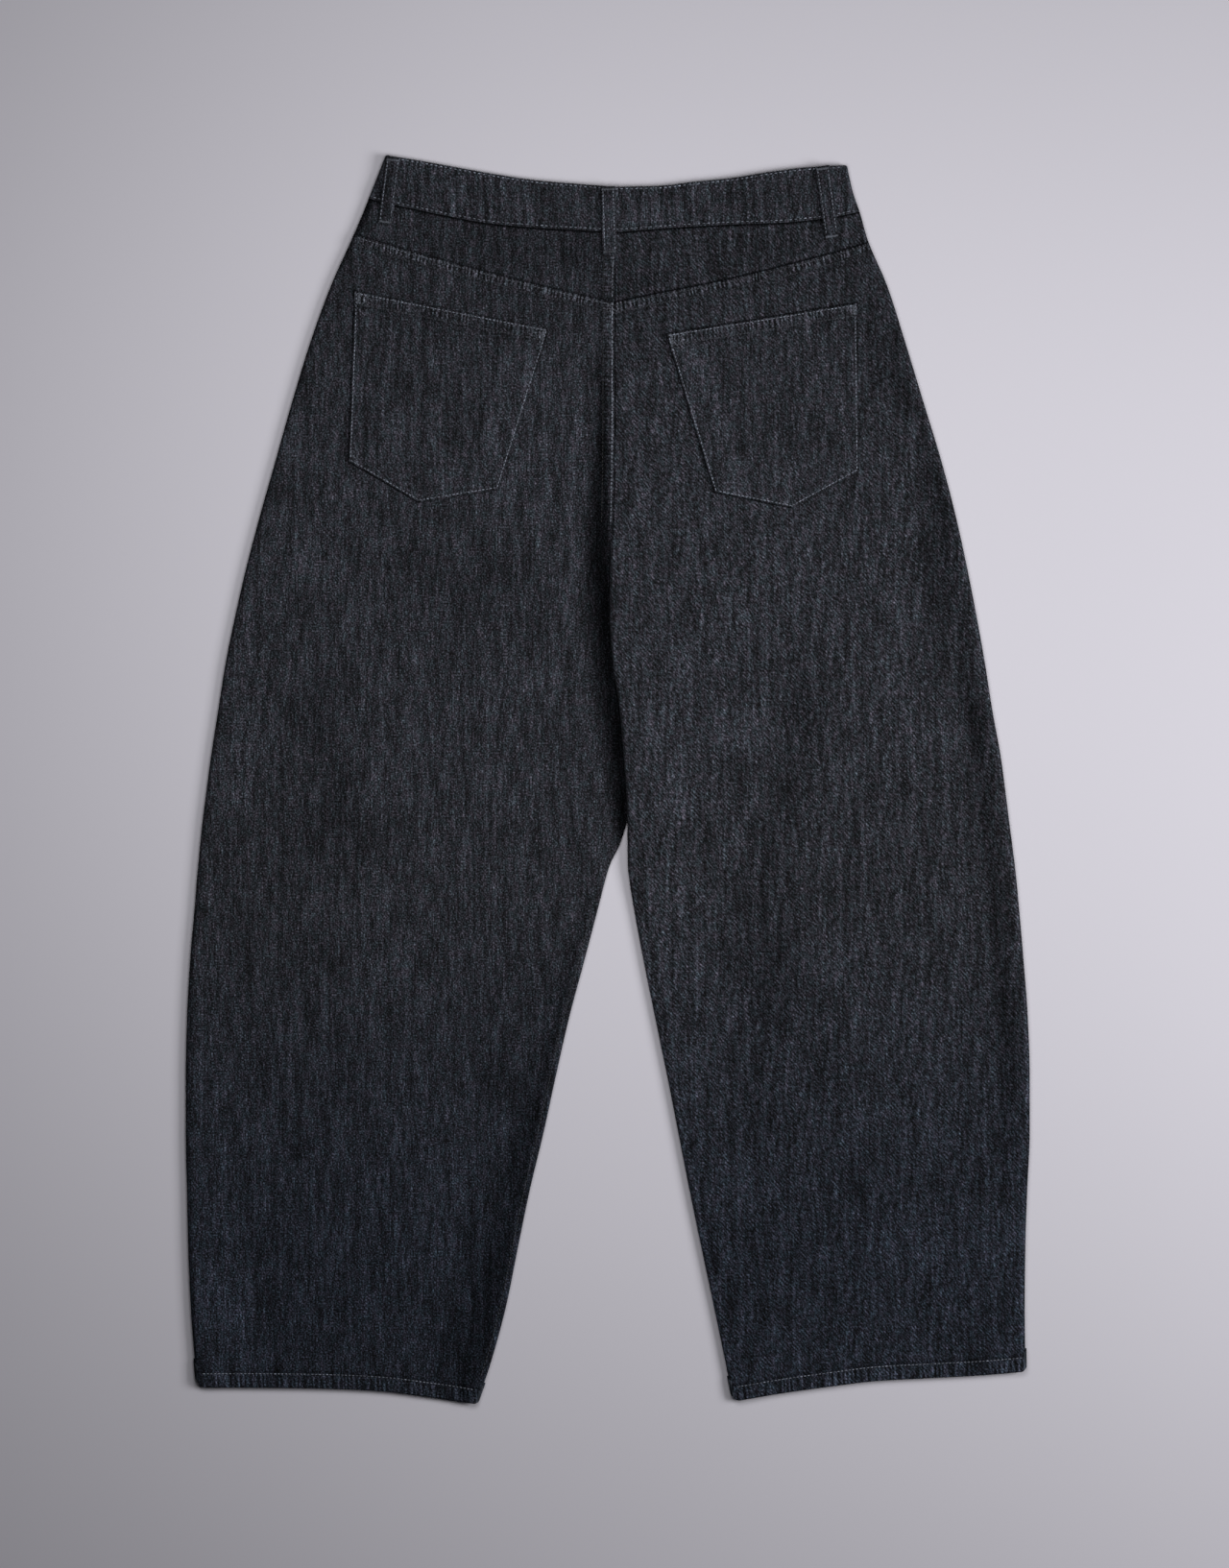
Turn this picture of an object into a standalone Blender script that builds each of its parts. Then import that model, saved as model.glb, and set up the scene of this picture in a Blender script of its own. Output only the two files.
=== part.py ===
"""Barrel leg trousers in raw black denim, laid flat on their front with the back up.

Frame: metres, +Z up, the floor at z = 0. +Y runs from the hems to the waist and -X is the wearer's left.
The origin is the bottom centre of the whole garment. Tables hold millimetres, and MM turns them into metres.
"""

import math
from collections import namedtuple

import bmesh
import bpy

MM = 0.001

# Cloth
CLOTH_WALL = 1.2 * MM
HEM_WALL = 2.1 * MM
BAND_WALL = 2.4 * MM
LOOP_WALL = 1.6 * MM
SEAM_GAP = 0.3 * MM

# Heights of the outer faces above the floor
BODY_HEIGHT = 5.0 * MM
SIDE_HEIGHT = 5.6 * MM
HEM_RISE = 0.4 * MM
BAND_HEIGHT = 6.2 * MM

# Seams, hems and waist
WELT_WIDTH = 9.5 * MM
WELT_SLOPE = 1.5 * MM
WELT_RISE = 0.6 * MM
HEM_DEPTH = 15.0 * MM
FRONT_WAIST_DROP = 12.0 * MM
SIDE_SPREAD = 16.0 * MM
EDGE_STAND = 0.5 * MM
SIDE_EASE = 0.3 * MM
NO_SEAM = 1.0
SEAM_ROUNDS = 5
HEM_SPREAD = 30.0 * MM

# Belt loops
LOOP_WIDTH = 12.0 * MM
LOOP_STEP_START = 1.0 * MM
LOOP_STEP_END = 8.0 * MM

# Waist button, under the front of the waistband
BUTTON_RADIUS = 8.5 * MM
BUTTON_THICKNESS = 2.0 * MM
BUTTON_RIM = 0.6 * MM
BUTTON_FROM_END = 13.0 * MM
BUTTON_LIFT = 2.5 * MM
BUTTON_LIFT_FLAT = 10.0 * MM
BUTTON_LIFT_REACH = 60.0 * MM
BACK_BULGE = 2.1 * MM
BACK_BULGE_ACROSS = 46.0 * MM
BACK_BULGE_ALONG = 34.0 * MM

LEFT, RIGHT = "left", "right"
OUTWARD = {LEFT: -1.0, RIGHT: 1.0}

# Outline of the garment: a row for each section across it, in mm.
Section = namedtuple("Section", "y left_side left_inner right_inner right_side")
OUTLINE = (
    Section(500, -178, 6.5, 6.5, 190),
    Section(472, -189, 6.5, 6.5, 196),
    Section(454, -196, 6.3, 6.3, 202),
    Section(433, -205, 6, 6, 208),
    Section(395, -222, 5.3, 5.3, 224),
    Section(348, -239, 5, 5, 239),
    Section(302, -253, 5, 5, 253),
    Section(256, -266, 4.8, 4.8, 267),
    Section(210, -279, 4, 4, 279),
    Section(164, -291, 1.8, 1.8, 289),
    Section(133, -298, 3, 1.4, 295),
    Section(94, -306, 13, 4, 302),
    Section(56, -312, 21, 9.5, 308),
    Section(17, -318, 22, 12.8, 315),
    Section(-13, -322, 19.5, 15, 319),
    Section(-33, -324.5, 15.5, 15.6, 321.5),
    Section(-52, -326.5, 9.5, 15.8, 324),
    Section(-68, -328, 1.8, 16, 326),
    Section(-82, -329.3, -2.4, 17.5, 327.5),
    Section(-98, -330.5, -6.5, 20, 329),
    Section(-144, -334.5, -18.5, 28.5, 333),
    Section(-191, -337, -31, 38, 336.5),
    Section(-237, -338, -41.5, 47.5, 338),
    Section(-283, -338, -51.5, 56.5, 338),
    Section(-329, -337, -62.5, 65.5, 336),
    Section(-375, -336, -72, 75, 334.5),
    Section(-422, -334, -81.5, 85, 334),
    Section(-468, -330.5, -94, 94.5, 334.5),
    Section(-500, -328, -105, 101, 335),
)

# Where the legs lie one on the other: heights in mm of the inner edges, by y.
# The left leg's edge is pressed flat under the right leg's, which is lifted off the floor.
Crossing = namedtuple("Crossing", "y left_top right_top right_under rolled welt")
CROSSING = (
    Crossing(500, 5.0, 5.0, 0.0, 0.0, 1.0),
    Crossing(295, 5.0, 5.0, 0.0, 0.0, 1.0),
    Crossing(256, 5.5, 5.5, 0.0, 0.0, 1.0),
    Crossing(222, 5.9, 5.9, 0.0, 0.0, 0.6),
    Crossing(164, 4.4, 7.4, 2.4, 1.0, 0.0),
    Crossing(136, 3.4, 8.0, 3.9, 1.0, 0.0),
    Crossing(-30, 3.4, 8.0, 3.9, 1.0, 0.0),
    Crossing(-70, 4.6, 6.8, 1.8, 1.0, 0.8),
    Crossing(-115, 5.6, 5.6, 0.0, 1.0, 1.0),
    Crossing(-500, 5.6, 5.6, 0.0, 1.0, 1.0),
)
CREASE_FLAT = 3.0 * MM
CREASE_UNDER_REACH = 34.0 * MM
CREASE_LEFT_REACH = 34.0 * MM
CREASE_RIGHT_FLAT = 6.0 * MM
CREASE_RIGHT_REACH = 46.0 * MM

# Heights of the seams and the hem in mm, by the share of the way from the centre or inseam to the side.
Seams = namedtuple("Seams", "share waist_top band_seam yoke_seam hem")
SEAMS = {
    LEFT: (
        Seams(0.00, 474.5, 438.0, 382.0, -500.0),
        Seams(0.17, 477.0, 440.0, 391.0, -494.5),
        Seams(0.34, 480.0, 442.3, 400.0, -490.0),
        Seams(0.50, 484.5, 445.5, 409.0, -488.0),
        Seams(0.67, 490.0, 451.5, 418.3, -487.2),
        Seams(0.84, 495.5, 458.3, 427.8, -487.0),
        Seams(1.00, 500.0, 465.0, 437.0, -487.0),
    ),
    RIGHT: (
        Seams(0.00, 474.5, 438.0, 382.0, -498.0),
        Seams(0.17, 475.2, 440.8, 390.0, -491.5),
        Seams(0.34, 478.7, 443.1, 397.0, -486.0),
        Seams(0.50, 481.8, 444.6, 404.5, -481.5),
        Seams(0.67, 486.8, 445.8, 413.0, -479.3),
        Seams(0.84, 490.4, 449.0, 421.5, -477.2),
        Seams(1.00, 492.0, 454.5, 430.0, -474.0),
    ),
}
HEM_CORNERS = {LEFT: (2.5 * MM, 9.0 * MM), RIGHT: (6.0 * MM, 4.0 * MM)}

# Soft folds of the back, in mm: a line, how far it reaches each side, and its height.
Fold = namedtuple("Fold", "x0 y0 x1 y1 reach rise")
FOLDS = (
    Fold(-16, 330, -14, 170, 13, -1.3),
    Fold(-38, 340, -30, 200, 18, -0.5),
    Fold(-178, 200, -120, 40, 40, -0.7),
    Fold(-250, 120, -300, -120, 34, 0.5),
    Fold(-60, -30, -220, -60, 36, -0.6),
    Fold(-120, -260, -150, -420, 34, 0.5),
    Fold(-84, -285, -120, -480, 14, -0.8),
    Fold(-280, -330, -300, -470, 30, -0.5),
    Fold(80, 150, 60, -40, 34, 0.6),
    Fold(190, 90, 250, -110, 40, -0.5),
    Fold(130, -120, 160, -330, 38, 0.5),
    Fold(250, -240, 240, -430, 36, -0.6),
)

# Corners of the patch pockets: x and y in mm.
PocketCorners = namedtuple("PocketCorners", "mouth_inner mouth_side bottom_side point bottom_inner")
POCKETS = {
    LEFT: PocketCorners((-46.5, 361), (-203, 391.5), (-208, 254.5), (-151.5, 221.5), (-87, 232)),
    RIGHT: PocketCorners((46, 357), (200, 382), (201.5, 246.5), (147.5, 217), (85, 229.5)),
}
POCKET_HEM_DEPTH = 12.0 * MM
POCKET_HEM_RISE = 0.5 * MM

# Belt loops: x and y in mm of the middle of each end.
LoopEnds = namedtuple("LoopEnds", "upper lower")
LOOPS = {
    LEFT: LoopEnds((-171.5, 498), (-178.5, 444)),
    "centre": LoopEnds((0, 474.5), (1.7, 420)),
    RIGHT: LoopEnds((171.5, 491), (179.5, 432.5)),
}

# How finely the cloth is divided
ARC_STEPS = 3
BACK_SPANS = 9
FRONT_SPANS = 5
LEVELS = 20
LEVEL_TOP = 345.0 * MM
LEVEL_BOTTOM = -445.0 * MM
EDGE_MARGIN = 12.0 * MM
BAND_FRONT_COLUMNS = (SEAM_GAP / 2, 4 * MM, 9 * MM, 17 * MM, 25 * MM, 34 * MM)
BAND_BACK_COLUMNS = (5 * MM,)
LEFT_FRONT_COLUMNS = (9 * MM,)
RIGHT_FRONT_COLUMNS = (6 * MM,)
YOKE_ROWS = 3
BAND_ROWS = 4
POCKET_COLUMNS = 4
POCKET_ROWS = 6


# Curves through tables


def curve(points, at):
    """A smooth curve through (key, value) points with rising keys, without overshoot."""
    last = len(points) - 1
    if at <= points[0][0]:
        return points[0][1]
    if at >= points[last][0]:
        return points[last][1]
    slopes = [(b[1] - a[1]) / (b[0] - a[0]) for a, b in zip(points, points[1:])]
    i = next(k for k in range(last) if points[k][0] <= at <= points[k + 1][0])

    def tangent(k):
        if k in (0, last):
            return slopes[0 if k == 0 else -1]
        before, after = slopes[k - 1], slopes[k]
        return 0.0 if before * after <= 0 else 2 * before * after / (before + after)

    width = points[i + 1][0] - points[i][0]
    t = (at - points[i][0]) / width
    rise = points[i + 1][1] - points[i][1]
    m0, m1 = tangent(i) * width, tangent(i + 1) * width
    return points[i][1] + t * m0 + t * t * (3 * rise - 2 * m0 - m1) + t**3 * (m0 + m1 - 2 * rise)


def column_of(table, name, y):
    """A column of OUTLINE or CROSSING, in the table's own units, at a place along the garment in metres."""
    return curve([(row.y * MM, getattr(row, name)) for row in reversed(table)], y)


def seam(name, side, share):
    """A column of SEAMS, in metres."""
    return curve([(row.share, getattr(row, name)) for row in SEAMS[side]], share) * MM


def ramp(start, end, at):
    """0 up to start, 1 from end on, and smooth between."""
    t = min(1.0, max(0.0, (at - start) / (end - start)))
    return t * t * (3 - 2 * t)


def bell(distance, reach):
    return math.exp(-((distance / reach) ** 2))


# The garment's form


def inner_edge(side, y):
    """The centre seam above the crotch, and the inseam below it."""
    return column_of(OUTLINE, side + "_inner", y) * MM


def side_edge(side, y):
    return column_of(OUTLINE, side + "_side", y) * MM


def crossing(name, y):
    return column_of(CROSSING, name, y)


def waist_top(side, share):
    return seam("waist_top", side, share)


def band_seam(side, share):
    return seam("band_seam", side, share)


def yoke_seam(side, share):
    return seam("yoke_seam", side, share)


def hem_edge(side, share):
    return seam("hem", side, share)


def front_drop(share):
    """How much lower the waist is in front, under the back."""
    return FRONT_WAIST_DROP * (1 - share * share)


def front_waist_top(side, share):
    return waist_top(side, share) - front_drop(share)


def front_band_seam(side, share):
    return band_seam(side, share) - front_drop(share)


def folds_at(x, y):
    total = 0.0
    for fold in FOLDS:
        ax, ay = fold.x0 * MM, fold.y0 * MM
        dx, dy = (fold.x1 - fold.x0) * MM, (fold.y1 - fold.y0) * MM
        t = ((x - ax) * dx + (y - ay) * dy) / (dx * dx + dy * dy)
        near = min(1.0, max(0.0, t))
        distance = math.hypot(x - ax - near * dx, y - ay - near * dy)
        total += fold.rise * MM * bell(distance, fold.reach * MM)
    return total


def button_place():
    middle = (front_waist_top(LEFT, 0.0) + front_band_seam(LEFT, 0.0)) / 2
    return inner_edge(LEFT, middle) - BUTTON_FROM_END, middle


def back_bulge(x, y):
    """The rise of the back over the button in the front of the waistband."""
    bx, by = button_place()
    return BACK_BULGE * bell(x - bx, BACK_BULGE_ACROSS) * bell(y - by, BACK_BULGE_ALONG)


def under_height(side, x, y):
    """The underside of the front: on the floor, but over the button and over the other leg."""
    bx, by = button_place()
    away = math.hypot(x - bx, y - by)
    lift = BUTTON_LIFT * (1 - ramp(BUTTON_LIFT_FLAT, BUTTON_LIFT_REACH, away))
    if side == RIGHT:
        past = x - max(inner_edge(LEFT, y), inner_edge(RIGHT, y))
        lift += crossing("right_under", y) * MM * (1 - ramp(CREASE_FLAT, CREASE_UNDER_REACH, past))
    return lift


def back_height(side, x, y):
    """The outer face of the back panels and yokes, without the raised seams."""
    from_inner = abs(x - inner_edge(side, y))
    from_side = abs(side_edge(side, y) - x)
    height = BODY_HEIGHT + (SIDE_HEIGHT - BODY_HEIGHT) * bell(from_side, SIDE_SPREAD)
    height += HEM_RISE * bell(y - hem_edge(side, 0.5), HEM_SPREAD)
    height += back_bulge(x, y)
    near_edge = 1 - bell(from_side, SIDE_SPREAD)
    edge_top = crossing(side + "_top", y) * MM - BODY_HEIGHT
    if side == LEFT:
        at_edge = 1 - ramp(0.0, CREASE_LEFT_REACH, from_inner)
    else:
        at_edge = 1 - ramp(CREASE_RIGHT_FLAT, CREASE_RIGHT_REACH, from_inner)
    return height + edge_top * at_edge + folds_at(x, y) * near_edge * (1 - at_edge**3)


def welt(side, from_inner, from_seam, y):
    """The felled seams: the left half laps the right, and the panels lap the yokes."""
    rise = 0.0
    if side == LEFT:
        rise = crossing("welt", y) * (1 - ramp(WELT_WIDTH, WELT_WIDTH + WELT_SLOPE, from_inner))
    return WELT_RISE * max(rise, 1 - ramp(WELT_WIDTH, WELT_WIDTH + WELT_SLOPE, from_seam))


# Columns across a half: near its inner edge, between, and at its side. An arc's value is its angle.
Column = namedtuple("Column", "kind value")
INNER_ARC, FROM_INNER, ACROSS, SIDE_ARC = "inner_arc", "from_inner", "across", "side_arc"
UPRIGHT = math.pi


def arc_angles():
    """From the top of an edge round to its middle, where the last step is upright."""
    return [math.pi / 2 * k / ARC_STEPS for k in range(ARC_STEPS + 1)] + [UPRIGHT]


def arc_rise(angle, reach):
    """How far from the middle of an edge a point of its arc is."""
    if angle == UPRIGHT:
        return 0.0
    return EDGE_STAND + (reach - EDGE_STAND) * math.cos(angle)


def columns_of(spans, from_inner):
    columns = [Column(INNER_ARC, angle) for angle in reversed(arc_angles())]
    columns += [Column(FROM_INNER, distance) for distance in from_inner]
    columns += [Column(ACROSS, k / spans) for k in range(spans + 1)]
    columns += [Column(SIDE_ARC, angle) for angle in arc_angles()]
    return columns


def column_x(side, column, y):
    """Where a column that isn't on an arc lies across its half."""
    out = OUTWARD[side]
    inner = inner_edge(side, y)
    if column.kind == FROM_INNER:
        return inner + out * column.value
    start, end = inner + out * EDGE_MARGIN, side_edge(side, y) - out * EDGE_MARGIN
    return start + (end - start) * column.value


def share_across(side, x, y):
    inner = inner_edge(side, y)
    return (x - inner) / (side_edge(side, y) - inner)


def seam_at(seam_of, side, column):
    """The height of a seam on a column."""
    if column.kind in (INNER_ARC, SIDE_ARC):
        return seam_of(side, 0.0 if column.kind == INNER_ARC else 1.0)
    y = seam_of(side, 0.5)
    for _ in range(SEAM_ROUNDS):
        y = seam_of(side, share_across(side, column_x(side, column, y), y))
    return y


def edge_point(side, column, y, from_seam, layer):
    """A point of the rounded edge of the back or the front, or of its flat edge at a seam."""
    at_side = column.kind == SIDE_ARC
    edge = side_edge(side, y) if at_side else inner_edge(side, y)
    toward = OUTWARD[side] if at_side else -OUTWARD[side]
    near = edge - toward * SIDE_HEIGHT / 2
    top, under = back_height(side, near, y), under_height(side, near, y)
    if not at_side:
        top += welt(side, 0.0, from_seam, y)
    rolled = 1.0 if at_side else crossing("rolled", y)
    inset = (top - under) / 2 * (1 - math.sin(min(column.value, math.pi / 2)))
    if not at_side:
        inset += SEAM_GAP / 2
    if column.value != UPRIGHT:
        inset += EDGE_STAND * (1 - rolled)
    x = edge - toward * inset
    middle, gap = (top + under) / 2, SEAM_GAP / 2
    if layer == "back":
        round_z = middle + gap + arc_rise(column.value, top - middle - gap)
        flat_z = back_height(side, x, y) + (0.0 if at_side else welt(side, abs(x - edge), from_seam, y))
    else:
        round_z = middle - gap - arc_rise(column.value, middle - gap - under)
        flat_z = under_height(side, x, y)
    return x, y, flat_z + (round_z - flat_z) * rolled


def section_point(side, column, y, from_seam, layer):
    """The outer point of the back or the front at a column and a height along the garment."""
    if column.kind in (INNER_ARC, SIDE_ARC):
        return edge_point(side, column, y, from_seam, layer)
    x = column_x(side, column, y)
    if layer == "back":
        return x, y, back_height(side, x, y) + welt(side, abs(x - inner_edge(side, y)), from_seam, y)
    return x, y, under_height(side, x, y)


# Building cloth


def clear_scene():
    for obj in list(bpy.data.objects):
        bpy.data.objects.remove(obj)


def material(name, colour, roughness, metallic=0.0):
    made = bpy.data.materials.new(name)
    made.use_nodes = True
    shader = made.node_tree.nodes["Principled BSDF"]
    shader.inputs["Base Color"].default_value = (*colour, 1.0)
    shader.inputs["Roughness"].default_value = roughness
    shader.inputs["Metallic"].default_value = metallic
    return made


def add_object(name, mesh, finish, collection):
    obj = bpy.data.objects.new(name, mesh)
    obj.data.materials.append(finish)
    collection.objects.link(obj)
    return obj


def cloth(name, rows, wall, finish, collection, faces_up, outward=False, wall_of_row=None):
    """A wall of cloth on a grid of outer points, thickened inwards, or outwards for a patch."""
    surface = bmesh.new()
    grid = [[surface.verts.new(point) for point in row] for row in rows]
    for upper, lower in zip(grid, grid[1:]):
        for k in range(len(upper) - 1):
            corners = [upper[k], lower[k], lower[k + 1], upper[k + 1]]
            surface.faces.new(corners if faces_up else corners[::-1])
    mesh = bpy.data.meshes.new(name)
    surface.to_mesh(mesh)
    surface.free()
    obj = add_object(name, mesh, finish, collection)
    mesh.shade_smooth()
    solidify = obj.modifiers.new("Wall", "SOLIDIFY")
    solidify.thickness = wall
    solidify.offset = 1.0 if outward else -1.0
    solidify.use_even_offset = True
    if wall_of_row:
        group = obj.vertex_groups.new(name="wall")
        width = len(rows[0])
        for r, row_wall in enumerate(wall_of_row):
            group.add(list(range(r * width, (r + 1) * width)), row_wall / wall, "REPLACE")
        solidify.vertex_group = group.name
        solidify.thickness_vertex_group = 0.0
    return obj


def corner_lift(side, column):
    """How far the hem's corners round up, by the distance from the leg's edges."""
    if column.kind not in (INNER_ARC, SIDE_ARC):
        return 0.0
    inner_radius, side_radius = HEM_CORNERS[side]
    radius = side_radius if column.kind == SIDE_ARC else inner_radius
    inset = SIDE_HEIGHT / 2 * (1 - math.sin(min(column.value, math.pi / 2)))
    left = max(0.0, radius - inset)
    return radius - math.sqrt(radius * radius - left * left)


def below(seam_of, side, column):
    """The upper edge of a piece under a seam. The waistband leans out most at the sides."""
    return seam_at(seam_of, side, column) - SEAM_GAP / 2 - (SIDE_EASE if column.kind == SIDE_ARC else 0.0)


def leg_panel(name, side, layer, columns, upper_seam, collection, finish):
    """A front or back panel, from its upper seam to its hem. Both have rows at the same levels."""
    levels = [LEVEL_TOP + (LEVEL_BOTTOM - LEVEL_TOP) * k / LEVELS for k in range(LEVELS + 1)]
    rows, walls = [], []

    def add_row(height_of, wall):
        row = []
        for column in columns:
            y = height_of(column)
            from_seam = below(upper_seam, side, column) - y if layer == "back" else NO_SEAM
            row.append(section_point(side, column, y, from_seam, layer))
        rows.append(row)
        walls.append(wall)

    for down in (0.0, WELT_WIDTH, WELT_WIDTH + WELT_SLOPE):
        add_row(lambda column, down=down: below(upper_seam, side, column) - down, CLOTH_WALL)
    for level in levels:
        add_row(lambda column, level=level: level, CLOTH_WALL)
    for up, wall in ((HEM_DEPTH + WELT_SLOPE, CLOTH_WALL), (HEM_DEPTH, HEM_WALL)):
        add_row(lambda column, up=up: seam_at(hem_edge, side, column) + up, wall)
    add_row(lambda column: seam_at(hem_edge, side, column) + corner_lift(side, column), HEM_WALL)
    faces_up = (layer == "back") == (side == RIGHT)
    return cloth(name, rows, HEM_WALL, finish, collection, faces_up, wall_of_row=walls)


def yoke(name, side, columns, collection, finish):
    rows = []
    for r in range(YOKE_ROWS + 1):
        row = []
        for column in columns:
            top = below(band_seam, side, column)
            bottom = seam_at(yoke_seam, side, column) + SEAM_GAP / 2
            y = top + (bottom - top) * r / YOKE_ROWS
            row.append(section_point(side, column, y, NO_SEAM, "back"))
        rows.append(row)
    return cloth(name, rows, CLOTH_WALL, finish, collection, side == RIGHT)


def band_point(side, column, layer, across):
    """A point of the waistband's outer face. across runs from its lower seam to its upper edge."""
    lower, upper = (band_seam, waist_top) if layer == "back" else (front_band_seam, front_waist_top)
    low = seam_at(lower, side, column) + SEAM_GAP / 2
    y = low + (seam_at(upper, side, column) - low) * across
    if column.kind == SIDE_ARC:
        radius = BAND_HEIGHT / 2
        x = side_edge(side, y) - OUTWARD[side] * radius * (1 - math.sin(column.value))
        rise = radius * math.cos(column.value)
        return x, y, radius + (rise if layer == "back" else -rise)
    x = column_x(side, column, y)
    return x, y, BAND_HEIGHT + back_bulge(x, y) if layer == "back" else under_height(side, x, y)


def waistband(collection, finish):
    """One strip: from the fly round the right side, along the back and round the left side."""
    around_side = [Column(SIDE_ARC, angle) for angle in arc_angles() if angle != UPRIGHT]

    def half(from_inner, spans):
        between = [column for column in columns_of(spans, from_inner) if column.kind in (FROM_INNER, ACROSS)]
        return sorted(between, key=lambda column: abs(column_x(RIGHT, column, band_seam(RIGHT, 0.5))))

    under = half(BAND_FRONT_COLUMNS, FRONT_SPANS)
    back = half(BAND_BACK_COLUMNS, BACK_SPANS)
    stations = [(RIGHT, column, "front") for column in under + around_side[:-1]]
    stations += [(RIGHT, column, "back") for column in reversed(back + around_side)]
    stations += [(LEFT, column, "back") for column in back + around_side]
    stations += [(LEFT, column, "front") for column in reversed(under + around_side[:-1])]
    rows = [
        [band_point(side, column, layer, r / BAND_ROWS) for side, column, layer in stations]
        for r in range(BAND_ROWS + 1)
    ]
    return cloth("waistband", rows, BAND_WALL, finish, collection, True)


def surface_height(x, y):
    """The garment's outer face on the back, at any point of the yokes, panels and waistband."""
    side = LEFT if x < inner_edge(LEFT, y) else RIGHT
    if y > band_seam(side, share_across(side, x, y)) - LOOP_STEP_START:
        return BAND_HEIGHT + back_bulge(x, y)
    return back_height(side, x, y) + welt(side, abs(x - inner_edge(side, y)), NO_SEAM, y)


def pocket(name, side, collection, finish):
    """A patch pocket on the panel's points, with a turned hem along its mouth."""
    mouth_in, mouth_side, low_side, point, low_in = [(x * MM, y * MM) for x, y in POCKETS[side]]
    point_share = (point[0] - low_in[0]) / (low_side[0] - low_in[0])
    shares = [point_share * k / POCKET_COLUMNS for k in range(POCKET_COLUMNS)]
    shares += [point_share + (1 - point_share) * k / POCKET_COLUMNS for k in range(POCKET_COLUMNS + 1)]
    depth = mouth_in[1] - low_in[1]
    hem = POCKET_HEM_DEPTH / depth
    downs = [0.0, hem, hem + WELT_SLOPE / depth]
    downs += [downs[-1] + (1 - downs[-1]) * k / POCKET_ROWS for k in range(1, POCKET_ROWS + 1)]
    rows = []
    for down in downs:
        row = []
        for share in shares:
            mouth = [a + (b - a) * share for a, b in zip(mouth_in, mouth_side)]
            if share <= point_share:
                low = [a + (b - a) * share / point_share for a, b in zip(low_in, point)]
            else:
                low = [a + (b - a) * (share - point_share) / (1 - point_share) for a, b in zip(point, low_side)]
            x, y = (a + (b - a) * down for a, b in zip(mouth, low))
            rise = POCKET_HEM_RISE * (1 - ramp(hem, hem + WELT_SLOPE / depth, down))
            row.append((x, y, back_height(side, x, y) + SEAM_GAP + rise))
        rows.append(row)
    return cloth(name, rows, CLOTH_WALL, finish, collection, side == RIGHT, outward=True)


def belt_loop(name, ends, collection, finish):
    """A strip over the waistband that steps down to the yoke."""
    (ux, uy), (lx, ly) = [(x * MM, y * MM) for x, y in ends]
    length = math.hypot(ux - lx, uy - ly)
    along = ((lx - ux) / length, (ly - uy) / length)
    across = (-along[1], along[0])

    def under(distance):
        """The highest cloth across the loop at a distance from its upper end."""
        found = []
        for k in range(-2, 3):
            x = ux + along[0] * distance + across[0] * LOOP_WIDTH * k / 4
            y = uy + along[1] * distance + across[1] * LOOP_WIDTH * k / 4
            found.append(surface_height(x, y))
        return max(found) + SEAM_GAP

    step = next(d * MM for d in range(20, 60) if under(d * MM) < under(d * MM - MM) - MM / 2)
    distances = [0.0, step / 3, 2 * step / 3, step, step + LOOP_STEP_END - LOOP_STEP_START, length]
    rows = []
    for distance in distances:
        height = under(distance if distance != step else step - LOOP_STEP_START)
        middle = (ux + along[0] * distance, uy + along[1] * distance)
        rows.append(
            [
                (middle[0] + across[0] * LOOP_WIDTH * k, middle[1] + across[1] * LOOP_WIDTH * k, height)
                for k in (-0.5, 0.0, 0.5)
            ]
        )
    return cloth(name, rows, LOOP_WALL, finish, collection, True, outward=True)


def waist_button(collection, finish):
    """A turned cap that lies face down on the floor, under the front of the waistband."""
    profile = bmesh.new()
    top, rim = BUTTON_THICKNESS, BUTTON_RIM
    outline = (
        (0.0, top),
        (BUTTON_RADIUS - rim, top),
        (BUTTON_RADIUS, top - rim),
        (BUTTON_RADIUS, rim),
        (BUTTON_RADIUS - rim, 0.0),
        (0.0, 0.0),
    )
    points = [profile.verts.new((x, 0.0, z)) for x, z in outline]
    for a, b in zip(points, points[1:]):
        profile.edges.new((a, b))
    mesh = bpy.data.meshes.new("waist_button")
    profile.to_mesh(mesh)
    profile.free()
    obj = add_object("waist_button", mesh, finish, collection)
    screw = obj.modifiers.new("Turn", "SCREW")
    screw.steps = screw.render_steps = 24
    screw.use_merge_vertices = True
    screw.merge_threshold = 0.0001
    screw.use_smooth_shade = False
    x, y = button_place()
    obj.location = (x, y, 0.0)
    return obj


def build():
    clear_scene()
    collection = bpy.data.collections.new("barrel_leg_trousers")
    bpy.context.scene.collection.children.link(collection)
    denim = material("black_denim", (0.021, 0.024, 0.031), 0.85)
    metal = material("button_metal", (0.20, 0.20, 0.21), 0.35, 0.9)
    felled = (WELT_WIDTH, WELT_WIDTH + WELT_SLOPE)
    back_columns = {LEFT: columns_of(BACK_SPANS, felled), RIGHT: columns_of(BACK_SPANS, ())}
    front_columns = {
        LEFT: columns_of(FRONT_SPANS, LEFT_FRONT_COLUMNS),
        RIGHT: columns_of(FRONT_SPANS, RIGHT_FRONT_COLUMNS),
    }
    for side in (LEFT, RIGHT):
        leg_panel("back_panel_" + side, side, "back", back_columns[side], yoke_seam, collection, denim)
        leg_panel("front_panel_" + side, side, "front", front_columns[side], front_band_seam, collection, denim)
        yoke("yoke_" + side, side, back_columns[side], collection, denim)
        pocket("back_pocket_" + side, side, collection, denim)
    waistband(collection, denim)
    for place, ends in LOOPS.items():
        belt_loop("belt_loop_" + place, ends, collection, denim)
    waist_button(collection, metal)


build()
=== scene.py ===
import math
from functools import partial

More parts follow.
